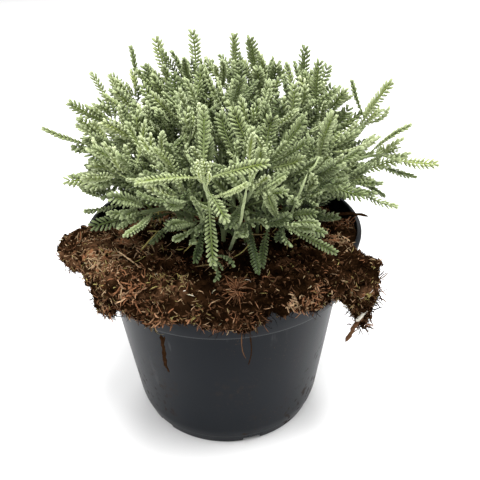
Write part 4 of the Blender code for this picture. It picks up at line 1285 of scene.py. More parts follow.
    def straw(self) -> None:
        """Lays old yellow leaf stalks and blades across the crown."""
        bundle = Bundle()
        count = 60
        angle = self.draw.uniform(0.0, TWO_PI, count)
        out = self.draw.uniform(0.014, 0.062, count)
        x, y = out * np.cos(angle), out * np.sin(angle) - 0.008
        z = np.array([self.mat.height(a, b) for a, b in zip(x, y)]) + 0.0012
        way = np.stack((np.cos(angle + self.draw.normal(0, 0.9, count)),
                        np.sin(angle + self.draw.normal(0, 0.9, count)),
                        self.draw.uniform(0.0, 0.35, count)), 1)
        lengths = self.draw.uniform(0.008, 0.024, count)
        paths = self.wander(np.stack((x, y, z), 1), way, lengths, 0.05, 8, 0.02)
        ground = np.array([[self.mat.height(p[0], p[1]) for p in path] for path in paths])
        paths[:, :, 2] = np.maximum(paths[:, :, 2], ground + 0.0009)
        for index, (across, down) in enumerate(self.blades):
            point, out = self.spot(across, down)
            reach = np.linspace(0.0, 0.013, 8)[:, None] * np.array([0.9, 0.45 - 0.2 * (index % 3), 0.12])
            paths[index] = point + out * 0.0016 + reach
        radii = self.draw.uniform(0.0003, 0.0006, count)[:, None] * np.array(
            [0.0, 1.0, 1.0, 1.0, 0.9, 0.8, 0.6, 0.0])
        tone = np.clip(STRAW.value - np.abs(self.draw.normal(0.0, 0.10, count)), 0.6, 1.0)
        bundle.strands(paths, radii, 4, tone)
        self.put("straw", bundle)

    def build(self) -> None:
        """Builds everything that lies on the bed."""
        for lay_litter in (self.fibres, self.crumbs, self.moss, self.tufts, self.roots, self.twigs,
                           self.straw):
            lay_litter()


@dataclass(frozen=True)
class Shoot:
    """One growing tip: where it ends, where its measured leaves end, and how many more it has."""

    tip: Triple
    leaf_tips: tuple[Triple, ...]
    extra: int
    heading: Triple

    @classmethod
    def measured(cls, tip: Triple, leaf_tips: Sequence[Triple], extra: int, heading: Triple) -> Shoot:
        """Makes a shoot of a row whose places are in millimetres."""
        return cls(metres(tip), tuple(metres(leaf) for leaf in leaf_tips), extra, heading)


# Each row is one leafy stem: its main shoot, then the side shoots that fork from it. A shoot is its
# tip and its measured leaves' tips in mm, how many more leaves it has, and its heading.
MEASURED_STEMS = (
    (((-6, -86, 199), ((-35, -85, 195), (22, -80, 201), (-5, -75, 222), (-3, -92, 157),
                       (6, -92, 187)), 1, (-0.1, -0.15, 1.0)),),
    (((16, -74, 186), ((18, -90, 150), (30, -85, 196), (3, -88, 174)), 1, (0.1, -0.6, 0.8)),),
    (((33, -72, 164), ((58, -70, 148), (43, -80, 137), (52, -75, 166), (31, -82, 143)), 1,
      (0.4, -0.9, 0.1)),),
    (((24, -52, 192), ((40, -62, 214), (20, -66, 212)), 3, (0.2, -0.4, 0.9)),),
    (((53, -44, 184), ((56, -50, 212), (72, -56, 173)), 3, (0.5, -0.3, 0.8)),
     ((60, -58, 166), (), 3, (0.7, -0.6, 0.1))),
    (((74, -20, 166), ((92, -30, 160), (98, -18, 176)), 3, (0.9, -0.2, 0.2)),),
    (((94, -6, 176), ((121, -15, 173), (104, -10, 193), (112, -4, 190)), 2, (1.0, -0.1, 0.25)),),
    (((86, 10, 191), ((101, 5, 209), (83, 8, 217)), 2, (0.6, 0.1, 0.7)),),
    (((62, 14, 199), ((61, 15, 221), (73, 20, 220), (78, 4, 205)), 2, (0.3, 0.1, 1.0)),),
    (((53, 26, 203), ((50, 27, 228), (66, 34, 216)), 2, (0.1, 0.2, 1.0)),
     ((41, 4, 196), (), 4, (0.2, -0.1, 1.0))),
    (((29, 36, 208), ((30, 41, 231), (41, 36, 224), (19, 44, 227)), 2, (0.1, 0.2, 1.0)),),
    (((7, 34, 208), ((1, 40, 230), (12, 38, 231)), 3, (-0.1, 0.1, 1.0)),
     ((12, 2, 200), (), 4, (0.0, -0.2, 1.0))),
    (((-17, 32, 210), ((-16, 40, 236), (-26, 36, 231)), 3, (-0.1, 0.1, 1.0)),),
    (((-34, 30, 207), ((-38, 40, 232), (-46, 16, 219)), 3, (-0.3, 0.1, 1.0)),
     ((-22, 0, 199), (), 4, (-0.2, -0.2, 1.0))),
    (((-53, 24, 204), ((-60, 30, 225), (-52, 31, 229)), 3, (-0.4, 0.1, 0.9)),),
    (((-66, 12, 195), ((-73, 16, 218), (-83, 4, 206), (-67, 24, 213)), 2, (-0.6, 0.1, 0.7)),),
    (((-70, -8, 186), ((-97, -10, 195), (-87, -1, 200)), 3, (-0.9, -0.1, 0.4)),
     ((-48, -16, 190), (), 4, (-0.4, -0.3, 0.9))),
    (((-58, -34, 176), ((-83, -30, 173), (-78, -41, 167), (-72, -20, 188)), 2, (-0.9, -0.4, 0.1)),),
    (((-44, -50, 162), ((-66, -52, 156), (-52, -68, 160)), 3, (-0.8, -0.6, 0.0)),),
    (((-28, -48, 185), (), 5, (-0.4, -0.6, 0.7)),),
    (((-12, -66, 160), (), 4, (-0.2, -1.0, 0.0)),),
    (((0, -34, 196), (), 5, (0.0, -0.4, 0.9)),))


@dataclass
class Leaf:
    """A planned leaf: its root on the shoot, the bend and the tip, and which way its face looks."""

    root: Vector
    bend: Vector
    tip: Vector
    lift: Vector
    form: Form = Form.OPEN
    measured: bool = False

    def at(self, share: float) -> Vector:
        """Finds the point at a share of the way from root to tip."""
        rest = 1.0 - share
        return self.root * rest * rest + self.bend * 2.0 * rest * share + self.tip * share * share

    def face(self) -> Array:
        """Finds the way its face looks, turned aside where that runs along the rib."""
        chord = (self.tip - self.root).normalized()
        across = self.lift - chord * self.lift.dot(chord)
        if across.length < 0.45:
            across = chord.orthogonal()
        return np.array(across.normalized())

    def line(self, shares: Array) -> tuple[Array, Array]:
        """Finds points and directions along the rib.

        Args:
            shares: How far along, for each point.

        Returns:
            The points and the forward directions.
        """
        a, b, c = (np.array(point) for point in (self.root, self.bend, self.tip))
        s = shares[:, None]
        return bow(a, b, c, s), unit((b - a) * (1 - s) + (c - b) * s)


@dataclass
class Limb:
    """A planned stem or shoot: its axis as points, its leaves and the shoots that fork from it."""

    axis: list[Vector]
    radius: float
    leaves: list[Leaf] = field(default_factory=list)
    forks: list[Limb] = field(default_factory=list)

    def length(self) -> float:
        """Measures the axis."""
        return sum((b - a).length for a, b in zip(self.axis, self.axis[1:]))

    def at(self, distance: float) -> tuple[Vector, Vector]:
        """Finds a place on the axis.

        Args:
            distance: How far along, in metres.

        Returns:
            The point and the direction there.
        """
        left = distance
        for a, b in zip(self.axis, self.axis[1:]):
            step = (b - a).length
            if left <= step:
                return a.lerp(b, left / step), (b - a).normalized()
            left -= step
        return self.axis[-1].copy(), (self.axis[-1] - self.axis[-2]).normalized()

    def aside(self, distance: float, turn: float, spread: float) -> tuple[Vector, ...]:
        """Turns away from the axis.

        Args:
            distance: How far along, in metres.
            turn: The angle round the axis.
            spread: The angle from the axis.

        Returns:
            The point on the axis, the direction of the axis, the one square to it, and the new one.
        """
        start, forward = self.at(distance)
        side = Matrix.Rotation(turn, 3, forward) @ forward.orthogonal().normalized()
        return start, forward, side, forward * math.cos(spread) + side * math.sin(spread)


class Thicket:
    """Remembers where everything grows, so that nothing is grown through it."""

    clearance = 0.0004

    def __init__(self) -> None:
        """Starts empty."""
        self.spots = np.zeros((0, 3))
        self.reach = np.zeros(0)
        self.owner = np.zeros(0, dtype=int)

    def add(self, spots: Array, reach: Array, owner: int) -> None:
        """Adds the sample spots of one limb or leaf.

        Args:
            spots: Points along it.
            reach: How far it spreads round each point.
            owner: The number of its stem.
        """
        self.spots = np.vstack((self.spots, spots))
        self.reach = np.concatenate((self.reach, reach))
        self.owner = np.concatenate((self.owner, np.full(len(reach), owner)))

    def is_clear(self, spots: Array, reach: Array, owner: int, root_length: float) -> bool:
        """Tests sample spots, and lets a root stretch touch what it grows from.

        Args:
            spots: Points along the new growth.
            reach: How far it spreads round each point.
            owner: The number of its stem.
            root_length: How long the root stretch is.

        Returns:
            True if it touches nothing.
        """
        apart = np.linalg.norm(spots[:, None, :] - self.spots[None, :, :], axis=2)
        needed = reach[:, None] + self.reach[None, :] + self.clearance
        near_root = np.linalg.norm(spots - spots[0], axis=1) < root_length
        allowed = near_root[:, None] & (self.owner == owner)[None, :]
        return bool(np.all((apart > needed) | allowed))


@dataclass
class BushPlan:
    """The rules that place every stem, shoot and leaf, as in the solids."""

    mat: Mat
    seed: int = 6
    crown: Vector = field(default_factory=lambda: Vector((0.002, -0.004, 0.1290)))
    centre: Vector = field(default_factory=lambda: Vector((0.004, 0.000, 0.128)))
    shells: tuple[Triple, ...] = (
        (0.086, 0.029, math.radians(84.0)), (0.056, 0.029, math.radians(86.0)))
    shell_steps: int = 90
    ruled_leaves: int = 6
    stem_radius: float = 0.0014
    shoot_radius: float = 0.0011
    hole_depth: float = 0.0120
    collar_height: float = 0.0050
    hole_spacing: float = 0.0062
    crown_reach: float = 0.030
    fibre_room: float = 0.0040
    tip_room: float = 0.016
    gap: float = 0.0003
    fork_share: float = 0.50
    fork_room: float = 0.0080
    leafy_length: float = 0.034
    leaf_length: float = 0.027
    petiole_share: float = 0.22
    rib_radius: float = 0.0008
    tooth_reach: float = 0.0024
    leaf_root_room: float = 0.0050

    def stem_axis(self, foot: Vector, tip: Vector, heading: Vector) -> list[Vector]:
        """Bends a stem from its hole over to its tip.

        Args:
            foot: The bottom of the hole.
            tip: Where the stem ends.
            heading: Its direction there.

        Returns:
            The points of its axis.
        """
        collar = Vector((foot.x, foot.y, self.mat.height(foot.x, foot.y) + self.collar_height))
        span = (tip - collar).length
        rise = collar + UP * span * 0.38
        approach = tip - heading * span * 0.36
        return [foot] + [cubic(collar, rise, approach, tip, step / 12.0) for step in range(13)]

    @staticmethod
    def fork_axis(parent: Limb, distance: float, tip: Vector, heading: Vector) -> list[Vector]:
        """Bends a side shoot from its parent to its tip.

        Args:
            parent: The stem that it forks from.
            distance: How far along the stem.
            tip: Where the shoot ends.
            heading: Its direction there.

        Returns:
            The points of its axis.
        """
        start, forward = parent.at(distance)
        span = (tip - start).length
        rise = start + forward * span * 0.35
        approach = tip - heading * span * 0.35
        return [cubic(start, rise, approach, tip, step / 10.0) for step in range(11)]

    def ground_height(self, x: float, y: float) -> float:
        """Finds the height that leaves stay above: the mat with its fibres, and the rim."""
        pot = self.mat.pot
        ground = self.mat.height(x, y) + self.fibre_room
        if math.hypot(x, y) > pot.rim_radius - 3.0 * pot.lip_width:
            ground = max(ground, pot.rim_height + self.fibre_room)
        return ground

    def clear_of_ground(self, spots: Sequence[Array], reach: Sequence[float]) -> bool:
        """Tests that growth hangs above the ground."""
        return all(spot[2] - radius > self.ground_height(spot[0], spot[1])
                   for spot, radius in zip(spots, reach))

    def claim_room(self, limb: Limb, thicket: Thicket, owner: int, root_length: float) -> bool:
        """Registers a limb's axis, unless something grows there or it sinks into the ground.

        Args:
            limb: The limb.
            thicket: What grows already.
            owner: The number of its stem.
            root_length: How long its root stretch is.

        Returns:
            True if it has room.
        """
        length = limb.length()
        count = max(4, int(length / 0.0022))
        spots = np.array([limb.at(length * step / count)[0] for step in range(count + 1)])
        reach = np.full(count + 1, limb.radius)
        outer = [spot for spot in spots
                 if math.dist(spot[:2], self.crown[:2]) > self.crown_reach + 0.01]
        if not self.clear_of_ground(outer, reach):
            return False
        if not thicket.is_clear(spots, reach, owner, root_length):
            return False
        thicket.add(spots, reach, owner)
        return True

    def leaf_samples(self, leaf: Leaf) -> tuple[Array, Array]:
        """Finds spots along a leaf and how far its teeth reach at each."""
        shares = np.linspace(0.0, 1.0, 14)
        spots = np.array([leaf.at(share) for share in shares])
        reach = np.where(shares < self.petiole_share, self.rib_radius,
                         self.rib_radius + self.tooth_reach
                         * np.clip((1.15 - shares) / 0.4, 0.35, 1.0))
        return spots, reach

    def plan_leaf(self, limb: Limb, distance: float, target: Vector, thicket: Thicket, owner: int,
                  draw: random.Random, tries: int) -> bool:
        """Plans one leaf towards a target, and gives way to what already grows there.

        Args:
            limb: What the leaf grows from.
            distance: How far along it.
            target: Where the leaf should end.
            thicket: What grows already.
            owner: The number of its stem.
            draw: The random source.
            tries: How often it may give way.

        Returns:
            True if the leaf has room.
        """
        start, forward = limb.at(distance)
        for attempt in range(tries):
            loose = 0.0012 * attempt
            aim = target + Vector((draw.uniform(-loose, loose), draw.uniform(-loose, loose),
                                   draw.uniform(-loose, loose)))
            reach = aim - start
            shrink = 1.0 - 0.012 * attempt
            across = reach - forward * reach.dot(forward)
            if across.length < 1e-6:
                continue
            across.normalize()
            root = start + across * limb.radius
            tip = root + (aim - root) * shrink
            length = (tip - root).length
            bend = root.lerp(tip, 0.45) + across * length * 0.10 - forward * length * 0.03
            leaf = Leaf(root, bend, tip, forward.lerp(UP, 0.25).normalized())
            spots, radii = self.leaf_samples(leaf)
            if not self.clear_of_ground(spots[3:], radii[3:]):
                continue
            if thicket.is_clear(spots, radii, owner, self.leaf_root_room):
                thicket.add(spots, radii, owner)
                limb.leaves.append(leaf)
                return True
        return False

    def best_root(self, limb: Limb, target: Vector, taken: list[float]) -> float:
        """Finds where on the leafy end a leaf to a target leaves its shoot at a natural angle.

        Args:
            limb: The limb.
            target: Where the leaf ends.
            taken: Distances where measured leaves leave it already.

        Returns:
            The distance along the limb.
        """
        length = limb.length()
        best = None
        for step in range(9):
            distance = length - self.leafy_length * step / 8.0
            start, forward = limb.at(distance)
            reach = target - start
            angle = math.degrees(reach.angle(forward))
            crowding = sum(2.0 for other in taken if abs(other - distance) < 0.0018)
            cost = (abs(angle - 48.0) / 20.0 + abs(reach.length - self.leaf_length) / 0.008
                    + crowding)
            if best is None or cost < best[0]:
                best = (cost, distance)
        return best[1]

    def dress_limb(self, limb: Limb, shoot: Shoot, thicket: Thicket, owner: int,
                   draw: random.Random) -> None:
        """Plans a shoot's measured leaves and then the others round it.

        Args:
            limb: The limb.
            shoot: What was measured of it.
            thicket: What grows already.
            owner: The number of its stem.
            draw: The random source.
        """
        length = limb.length()
        taken: list[float] = []
        for target in shoot.leaf_tips:
            distance = self.best_root(limb, Vector(target), taken)
            if self.plan_leaf(limb, distance, Vector(target), thicket, owner, draw, 30):
                limb.leaves[-1].measured = True
                taken.append(distance)
        turn = draw.uniform(0.0, TWO_PI)
        for index in range(shoot.extra):
            share = (index + 0.5) / shoot.extra
            distance = length - self.leafy_length * share
            for _ in range(10):
                turn += GOLDEN_ANGLE
                spread = math.radians(mix(22.0, 62.0, share) + draw.uniform(-6.0, 6.0))
                start, *_, way = limb.aside(distance, turn, spread)
                reach = self.leaf_length * draw.uniform(0.82, 1.08) * mix(0.9, 1.0, share)
                if self.plan_leaf(limb, distance, start + way * reach, thicket, owner, draw, 5):
                    break

    def ruled_shoots(self, known: list[Vector], draw: random.Random) -> list[tuple[Shoot, ...]]:
        """Fills the bush evenly where no measured shoot grows, most of it behind and on top.

        Args:
            known: The growing tips so far.
            draw: The random source.

        Returns:
            One row for each new stem.
        """
        made = []
        for layer_radius, spacing, steepest in self.shells:
            for index in range(self.shell_steps):
                share = (index + 0.5) / self.shell_steps
                polar = math.acos(1.0 - share * (1.0 - math.cos(steepest)))
                bearing = index * GOLDEN_ANGLE
                way = Vector((math.sin(polar) * math.cos(bearing),
                              math.sin(polar) * math.sin(bearing), math.cos(polar)))
                tip = self.centre + way * layer_radius * draw.uniform(0.94, 1.04)
                if any((tip - other).length < spacing for other in known):
                    continue
                if tip.z < self.mat.height(tip.x, tip.y) + self.tip_room:
                    continue
                known.append(tip)
                heading = way.lerp(UP, 0.30) + Vector((0.0, 0.0, 0.05))
                made.append((Shoot(tuple(tip), (), self.ruled_leaves, tuple(heading)),))
        return made

    def place_feet(self, rows: Sequence[tuple[Shoot, ...]]) -> list[Vector]:
        """Spreads the stems' feet round the crown so that no two holes meet.

        Args:
            rows: The stems.

        Returns:
            A foot for each, with no height yet.
        """
        feet = []
        for row in rows:
            tip = Vector(row[0].tip) - self.crown
            out = math.hypot(tip.x, tip.y)
            reach = self.crown_reach * math.sin(math.atan2(out, max(tip.z, 0.004)))
            feet.append(Vector((tip.x / out * reach, tip.y / out * reach, 0.0)))
        for _ in range(60):
            for index, foot in enumerate(feet):
                for other in feet[:index]:
                    apart = foot - other
                    short = self.hole_spacing - apart.length
                    if short > 0.0:
                        push = (apart.normalized() if apart.length > 1e-6 else Vector((1, 0, 0)))
                        foot += push * short * 0.5
                        other -= push * short * 0.5
        return [Vector((foot.x + self.crown.x, foot.y + self.crown.y, 0.0)) for foot in feet]

    def plan(self) -> list[Limb]:
        """Plans the whole bush.

        Returns:
            The stems, in the order of their nodes.
        """
        draw = random.Random(self.seed)
        rows = [tuple(Shoot.measured(*shoot) for shoot in row) for row in MEASURED_STEMS]
        rows += self.ruled_shoots([Vector(shoot.tip) for row in rows for shoot in row], draw)
        feet = self.place_feet(rows)
        thicket = Thicket()
        stems: list[Limb] = []
        jobs: list[tuple[Limb, Shoot, int]] = []
        for row, foot in zip(rows, feet):
            owner = len(stems)
            bottom = Vector((foot.x, foot.y,
                             self.mat.height(foot.x, foot.y) - self.hole_depth + self.gap))
            stem = Limb(self.stem_axis(bottom, Vector(row[0].tip),
                                       Vector(row[0].heading).normalized()), self.stem_radius)
            if not self.claim_room(stem, thicket, owner, 0.0):
                continue
            jobs.append((stem, row[0], owner))
            for shoot in row[1:]:
                distance = stem.length() * self.fork_share
                fork = Limb(self.fork_axis(stem, distance, Vector(shoot.tip),
                                           Vector(shoot.heading).normalized()), self.shoot_radius)
                if self.claim_room(fork, thicket, owner, self.fork_room):
                    stem.forks.append(fork)
                    jobs.append((fork, shoot, owner))
            stems.append(stem)
        for limb, shoot, number in jobs:
            self.dress_limb(limb, shoot, thicket, number, draw)
        return stems


class Crowd:
    """Remembers ribs in small cells, so that no new rib grows through another."""

    cell = 0.003

    def __init__(self) -> None:
        """Starts empty."""
        self.cells: dict[tuple[int, int, int], list[Triple]] = {}

    def _key(self, spot: Sequence[float]) -> tuple[int, int, int]:
        """Finds the cell of a spot."""
        return (int(spot[0] // self.cell), int(spot[1] // self.cell), int(spot[2] // self.cell))

    def add(self, spots: Array) -> None:
        """Adds spots along a rib."""
        for spot in spots:
            self.cells.setdefault(self._key(spot), []).append(tuple(spot))

    def room(self, spots: Array) -> float:
        """Measures how near the closest rib is.

        Args:
            spots: Spots along the new rib.

        Returns:
            The smallest distance, or the size of a cell if nothing is nearer.
        """
        nearest = self.cell
        for spot in spots:
            i, j, k = self._key(spot)
            for a in (i - 1, i, i + 1):
                for b in (j - 1, j, j + 1):
                    for c in (k - 1, k, k + 1):
                        for other in self.cells.get((a, b, c), ()):
                            nearest = min(nearest, math.dist(spot, other))
        return nearest


# Bare forked stalks in front: their points and their radius, in metres
STALKS = (
    (((0.004, -0.050, 0.138), (0.0075, -0.068, 0.158), (0.0105, -0.079, 0.172),
      (0.0118, -0.083, 0.182), (0.0135, -0.084, 0.1919)), 0.0009),
    (((0.0135, -0.084, 0.1910), (0.0118, -0.083, 0.1960), (0.0105, -0.082, 0.1985),
      (0.0090, -0.078, 0.204)), 0.0007),
    (((0.0135, -0.084, 0.1910), (0.0150, -0.083, 0.1940), (0.0168, -0.082, 0.1960),
      (0.0205, -0.078, 0.201)), 0.0007),
    (((0.032, -0.046, 0.150), (0.0360, -0.062, 0.1660), (0.0394, -0.068, 0.1800),
      (0.0432, -0.066, 0.1906)), 0.0008),
    (((0.0432, -0.066, 0.1900), (0.0465, -0.063, 0.1925), (0.0500, -0.058, 0.1955)), 0.0006))


@dataclass
class Santolina:
    """The fine bush: the planned stems, with more leaves and young tips than the solids carry."""

    plan: BushPlan
    camera: Camera
    material: bpy.types.Material
    seed: int = 23
    petiole: float = 0.20
    pitch: float = 0.00196
    rib: float = 0.00055
    rib_room: float = 0.0035
    tip_room: float = 0.0024
    core: Pair = (0.040, 0.026)
    depth: float = 0.080
    row_tilt: float = math.radians(17.0)
    older_breadth: float = 1.08
    tooth_radius: float = 0.00058
    coarse_swell: float = 1.18
    envelope: float = 0.107
    front: float = -0.064
    low: float = 0.153
    ground_room: float = 0.0022
    rim_room: float = 0.004
    over_rim: float = 0.136
    spreads: Pair = (28.0, 78.0)
    lengths: Pair = (0.020, 0.029)
    steps: Pair = (0.0022, 0.0052)
    tuft: float = 0.007
    old_growth: float = 0.045
    old_length: float = 0.85
    open_share: float = 0.66
    youngest: int = 5
    youngest_length: float = 0.0070
    young_tuft: tuple[float, float, int] = (6.0, 0.0175, 5)
    hero_tuft: tuple[float, float, int] = (2.4, 0.0095, 10)
    fork_shares: tuple[float, ...] = (0.44, 0.58, 0.70, 0.82, 0.91)
    fork_lengths: Pair = (0.022, 0.036)
    fork_radius: float = 0.0009
    fork_spacing: float = 0.0122
    fork_room: float = 0.012
    fork_envelope: float = 0.086
    bare_starts: Triple = (0.022, 0.010, 0.005)
    front_roots: tuple[float, ...] = (0.0020, 0.0035, 0.0, 0.0150, 0.0095)
    skirt: tuple[Pair, ...] = (
        (40.0, 150.0), (70.0, 189.0), (95.0, 190.0), (118.0, 193.0), (140.0, 205.0), (165.0, 217.0),
        (190.0, 226.0), (215.0, 232.0), (245.0, 240.0), (290.0, 241.0), (325.0, 236.0),
        (338.0, 214.0), (342.0, 199.0), (388.0, 199.0), (436.0, 172.0))
    skirt_fade: float = 15.0
    stray_share: float = 0.02
    bare_lines: tuple[tuple[float, float, float, float, float], ...] = (
        (199.0, 176.0, 203.0, 208.0, -0.078), (248.0, 184.0, 243.0, 212.0, -0.072),
        (304.0, 178.0, 299.0, 196.0, -0.060), (340.0, 216.0, 369.0, 215.0, -0.006))
    stalk_clearance: float = 4.0

    def __post_init__(self) -> None:
        """Plans the stems and prepares the room finder."""
        self.stems = self.plan.plan()
        self.crowd = Crowd()
        self.draw = np.random.default_rng(self.seed)
        self.ribs = np.linspace(0.36, 1.0, 9)
        self.stalks = [Limb([Vector(point) for point in points], radius) for points, radius in STALKS]
        front = self.stems[0]
        for leaf, back in zip([leaf for leaf in front.leaves if leaf.measured], self.front_roots):
            start, forward = front.at(front.length() - back)
            reach = leaf.tip - start
            across = (reach - forward * reach.dot(forward)).normalized()
            leaf.root = start + across * front.radius * 0.5
            leaf.bend = leaf.root.lerp(leaf.tip, 0.45) + UP * reach.length * 0.05

    def register(self, leaf: Leaf) -> None:
        """Remembers a leaf's rib."""
        self.crowd.add(leaf.line(self.ribs)[0])

    def limbs(self, stem: Limb) -> list[Limb]:
        """Lists a stem with its forks."""
        return [stem] + stem.forks

    def spread_leaf(self, limb: Limb, distance: float, turn: float, spread: float, length: float,
                    form: Form) -> Leaf:
        """Shapes one leaf that leaves a limb at an angle.

        Args:
            limb: The limb.
            distance: How far along it.
            turn: The direction round the limb.
            spread: The angle from the limb's own direction.
            length: The leaf's length.
            form: How its teeth stand.

        Returns:
            The leaf.
        """
        start, forward, side, way = limb.aside(distance, turn, spread)
        root = start + side * limb.radius * 0.5
        tip = root + way * length + UP * length * self.draw.uniform(-0.10, 0.14)
        bend = root.lerp(tip, 0.45) + side * length * self.draw.uniform(-0.02, 0.34)
        bend += forward.cross(side) * length * self.draw.normal(0.0, 0.13)
        return Leaf(root, bend, tip, forward.lerp(UP, 0.25).normalized(), form)

    def below_skirt(self, spots: Array) -> bool:
        """Tells whether growth in front hangs where the photograph shows the bare mat."""
        if (spots[-1][1] > 0.02 and spots[-1][0] < 0.060) or self.draw.random() < self.stray_share:
            return False
        across, down = self.camera.pixel(spots)
        line = np.array(self.skirt)
        left = float(np.min(np.interp(across, line[:, 0], line[:, 1]) - down))
        return left < self.skirt_fade * self.draw.random()

    def hides_stalk(self, spots: Array) -> bool:
        """Tells whether growth stands before one of the stalks that the photograph shows bare."""
        seen = np.stack(self.camera.pixel(spots), axis=1)
        for left, high, right, low, depth in self.bare_lines:
            start = np.array((left, high))
            along = np.array((right, low)) - start
            share = np.clip((seen - start) @ along / (along @ along), 0.0, 1.0)
            apart = np.linalg.norm(seen - start - share[:, None] * along, axis=1)
            if np.any((apart < self.stalk_clearance) & (spots[:, 1] < depth)):
                return True
        return False

    def try_leaf(self, limb: Limb, leaf: Leaf, room: float) -> bool:
        """Keeps a leaf if it has room and stays in the bush.

        Args:
            limb: What it grows from.
            leaf: The leaf.
            room: How far its rib keeps from others.

        Returns:
            True if it was kept.
        """
        spots = leaf.line(self.ribs)[0]
        away = math.dist(tuple(leaf.tip), tuple(self.plan.centre))
        if away > self.envelope or away < self.core[int(leaf.tip.y < 0.0)]:
            return False
        if self.below_skirt(spots[4:]) or self.hides_stalk(spots):
            return False
        mat = self.plan.mat
        for x, y, z in (spots[4], spots[-1]):
            if z < mat.height(x, y) + self.ground_room:
                return False
            if math.hypot(x, y) > mat.pot.rim_radius - self.rim_room and z < self.over_rim:
                return False
        if self.crowd.room(spots) < room:
            return False
        self.register(leaf)
        limb.leaves.append(leaf)
        return True

    def fill_limb(self, limb: Limb, bare: float) -> None:
        """Adds leaves all along a limb, denser towards its tip, and a tuft of young ones.

        Args:
            limb: The limb.
            bare: How much of its start carries none.
        """
        length = limb.length()
        turn = self.draw.uniform(0.0, TWO_PI)
        distance = length - 0.002
        while distance > bare:
            back = length - distance
            share = min(1.0, back / 0.040)
            for attempt in range(7):
                turn += GOLDEN_ANGLE
                spread = math.radians(mix(*self.spreads, share**0.6) + self.draw.uniform(-16.0, 16.0))
                size = mix(*self.lengths, min(1.0, back / self.tuft)) * self.draw.uniform(0.66, 1.10)
                size *= 1.0 - 0.03 * attempt
                if back > self.old_growth:
                    size *= self.old_length
                form = Form.OPEN if self.draw.random() < self.open_share else Form.CLOSED
                if self.try_leaf(limb, self.spread_leaf(limb, distance, turn, spread, size, form),
                                 self.tip_room if back < self.tuft else self.rib_room):
                    break
            distance -= mix(*self.steps, min(1.0, back / 0.06))
        hero = limb is self.stems[0]
        fan, longest, number = self.hero_tuft if hero else self.young_tuft
        for index in range(number):
            turn += GOLDEN_ANGLE
            size = mix(self.youngest_length, longest, min(1.0, index / self.youngest))
            form = Form.YOUNG if hero or index < 2 else Form.CLOSED
            leaf = self.spread_leaf(limb, length - 0.0007 * index, turn,
                                    math.radians(6.0 + fan * index), size, form)
            self.register(leaf)
            limb.leaves.append(leaf)

    def side_shoots(self, stem: Limb) -> None:
        """Adds short side shoots to a stem where the bush has room for them.

        Args:
            stem: The stem.
        """
        length = stem.length()
        for share in self.fork_shares:
            for _ in range(7):
                start, *_, way = stem.aside(length * share, self.draw.uniform(0.0, TWO_PI),
                                            math.radians(self.draw.uniform(34.0, 58.0)))
                size = self.draw.uniform(*self.fork_lengths)
                tip = start + way * size + UP * size * 0.18
                if tip.z < self.plan.mat.height(tip.x, tip.y) + self.fork_room:
                    continue
                if ((tip - self.plan.centre).length > self.fork_envelope
                        or self.below_skirt(np.array([tip]))):
                    continue
                if any((tip - other).length < self.fork_spacing for other in self.tips):
                    continue
                self.tips.append(tip)
                heading = (way + UP * 0.5).normalized()
                axis = self.plan.fork_axis(stem, length * share, tip, heading)
                stem.forks.append(Limb(axis, self.fork_radius))
                break

    def grow(self) -> None:
        """Plans the extra shoots and leaves of every stem."""
        self.tips = [limb.axis[-1] for stem in self.stems for limb in self.limbs(stem)]
        for stem in self.stems:
            for limb in self.limbs(stem):
                for leaf in limb.leaves:
                    self.register(leaf)
        trunk, fork, young = self.bare_starts
        for stem in self.stems:
            own = self.limbs(stem)
            self.side_shoots(stem)
            for limb in self.limbs(stem):
                self.fill_limb(limb, trunk if limb is stem else (fork if limb in own else young))

    def tone_and_shading_of(self, leaf: Leaf) -> float:
        """Picks a leaf's tone, with painted shade and light: dark inside the bush and low in front,
        paler outside, on the left and on the measured leaves in front.
        """
        away = (leaf.tip - self.plan.centre).length / self.envelope
        # Painted shade: leaves deep in the bush are darker, those at its edge paler
        tone = 0.09 + 0.50 * away**2 + self.draw.normal(0.0, 0.13)
        # Painted light: the bush's left side is a little paler
        if leaf.tip.x < -0.03:
            tone += 0.06
        # Painted light on the measured leaves in front; painted shade on the other low leaves in front,
        # darkest in the middle
        if leaf.measured and leaf.tip.y < self.front and (leaf.tip.z > 0.180 or leaf.tip.x < 0.0):
            tone += 0.02
        elif leaf.tip.y < 0.02:
            low = float(np.clip((0.192 - leaf.tip.z) / 0.032, 0.0, 1.0))
            tone -= low * (0.11 + 0.32 * math.exp(-((leaf.tip.x - 0.014) / 0.032) ** 2))
        tone += -0.04 if leaf.form is Form.OPEN else 0.13
        return float(np.clip(tone, 0.0, 1.0))

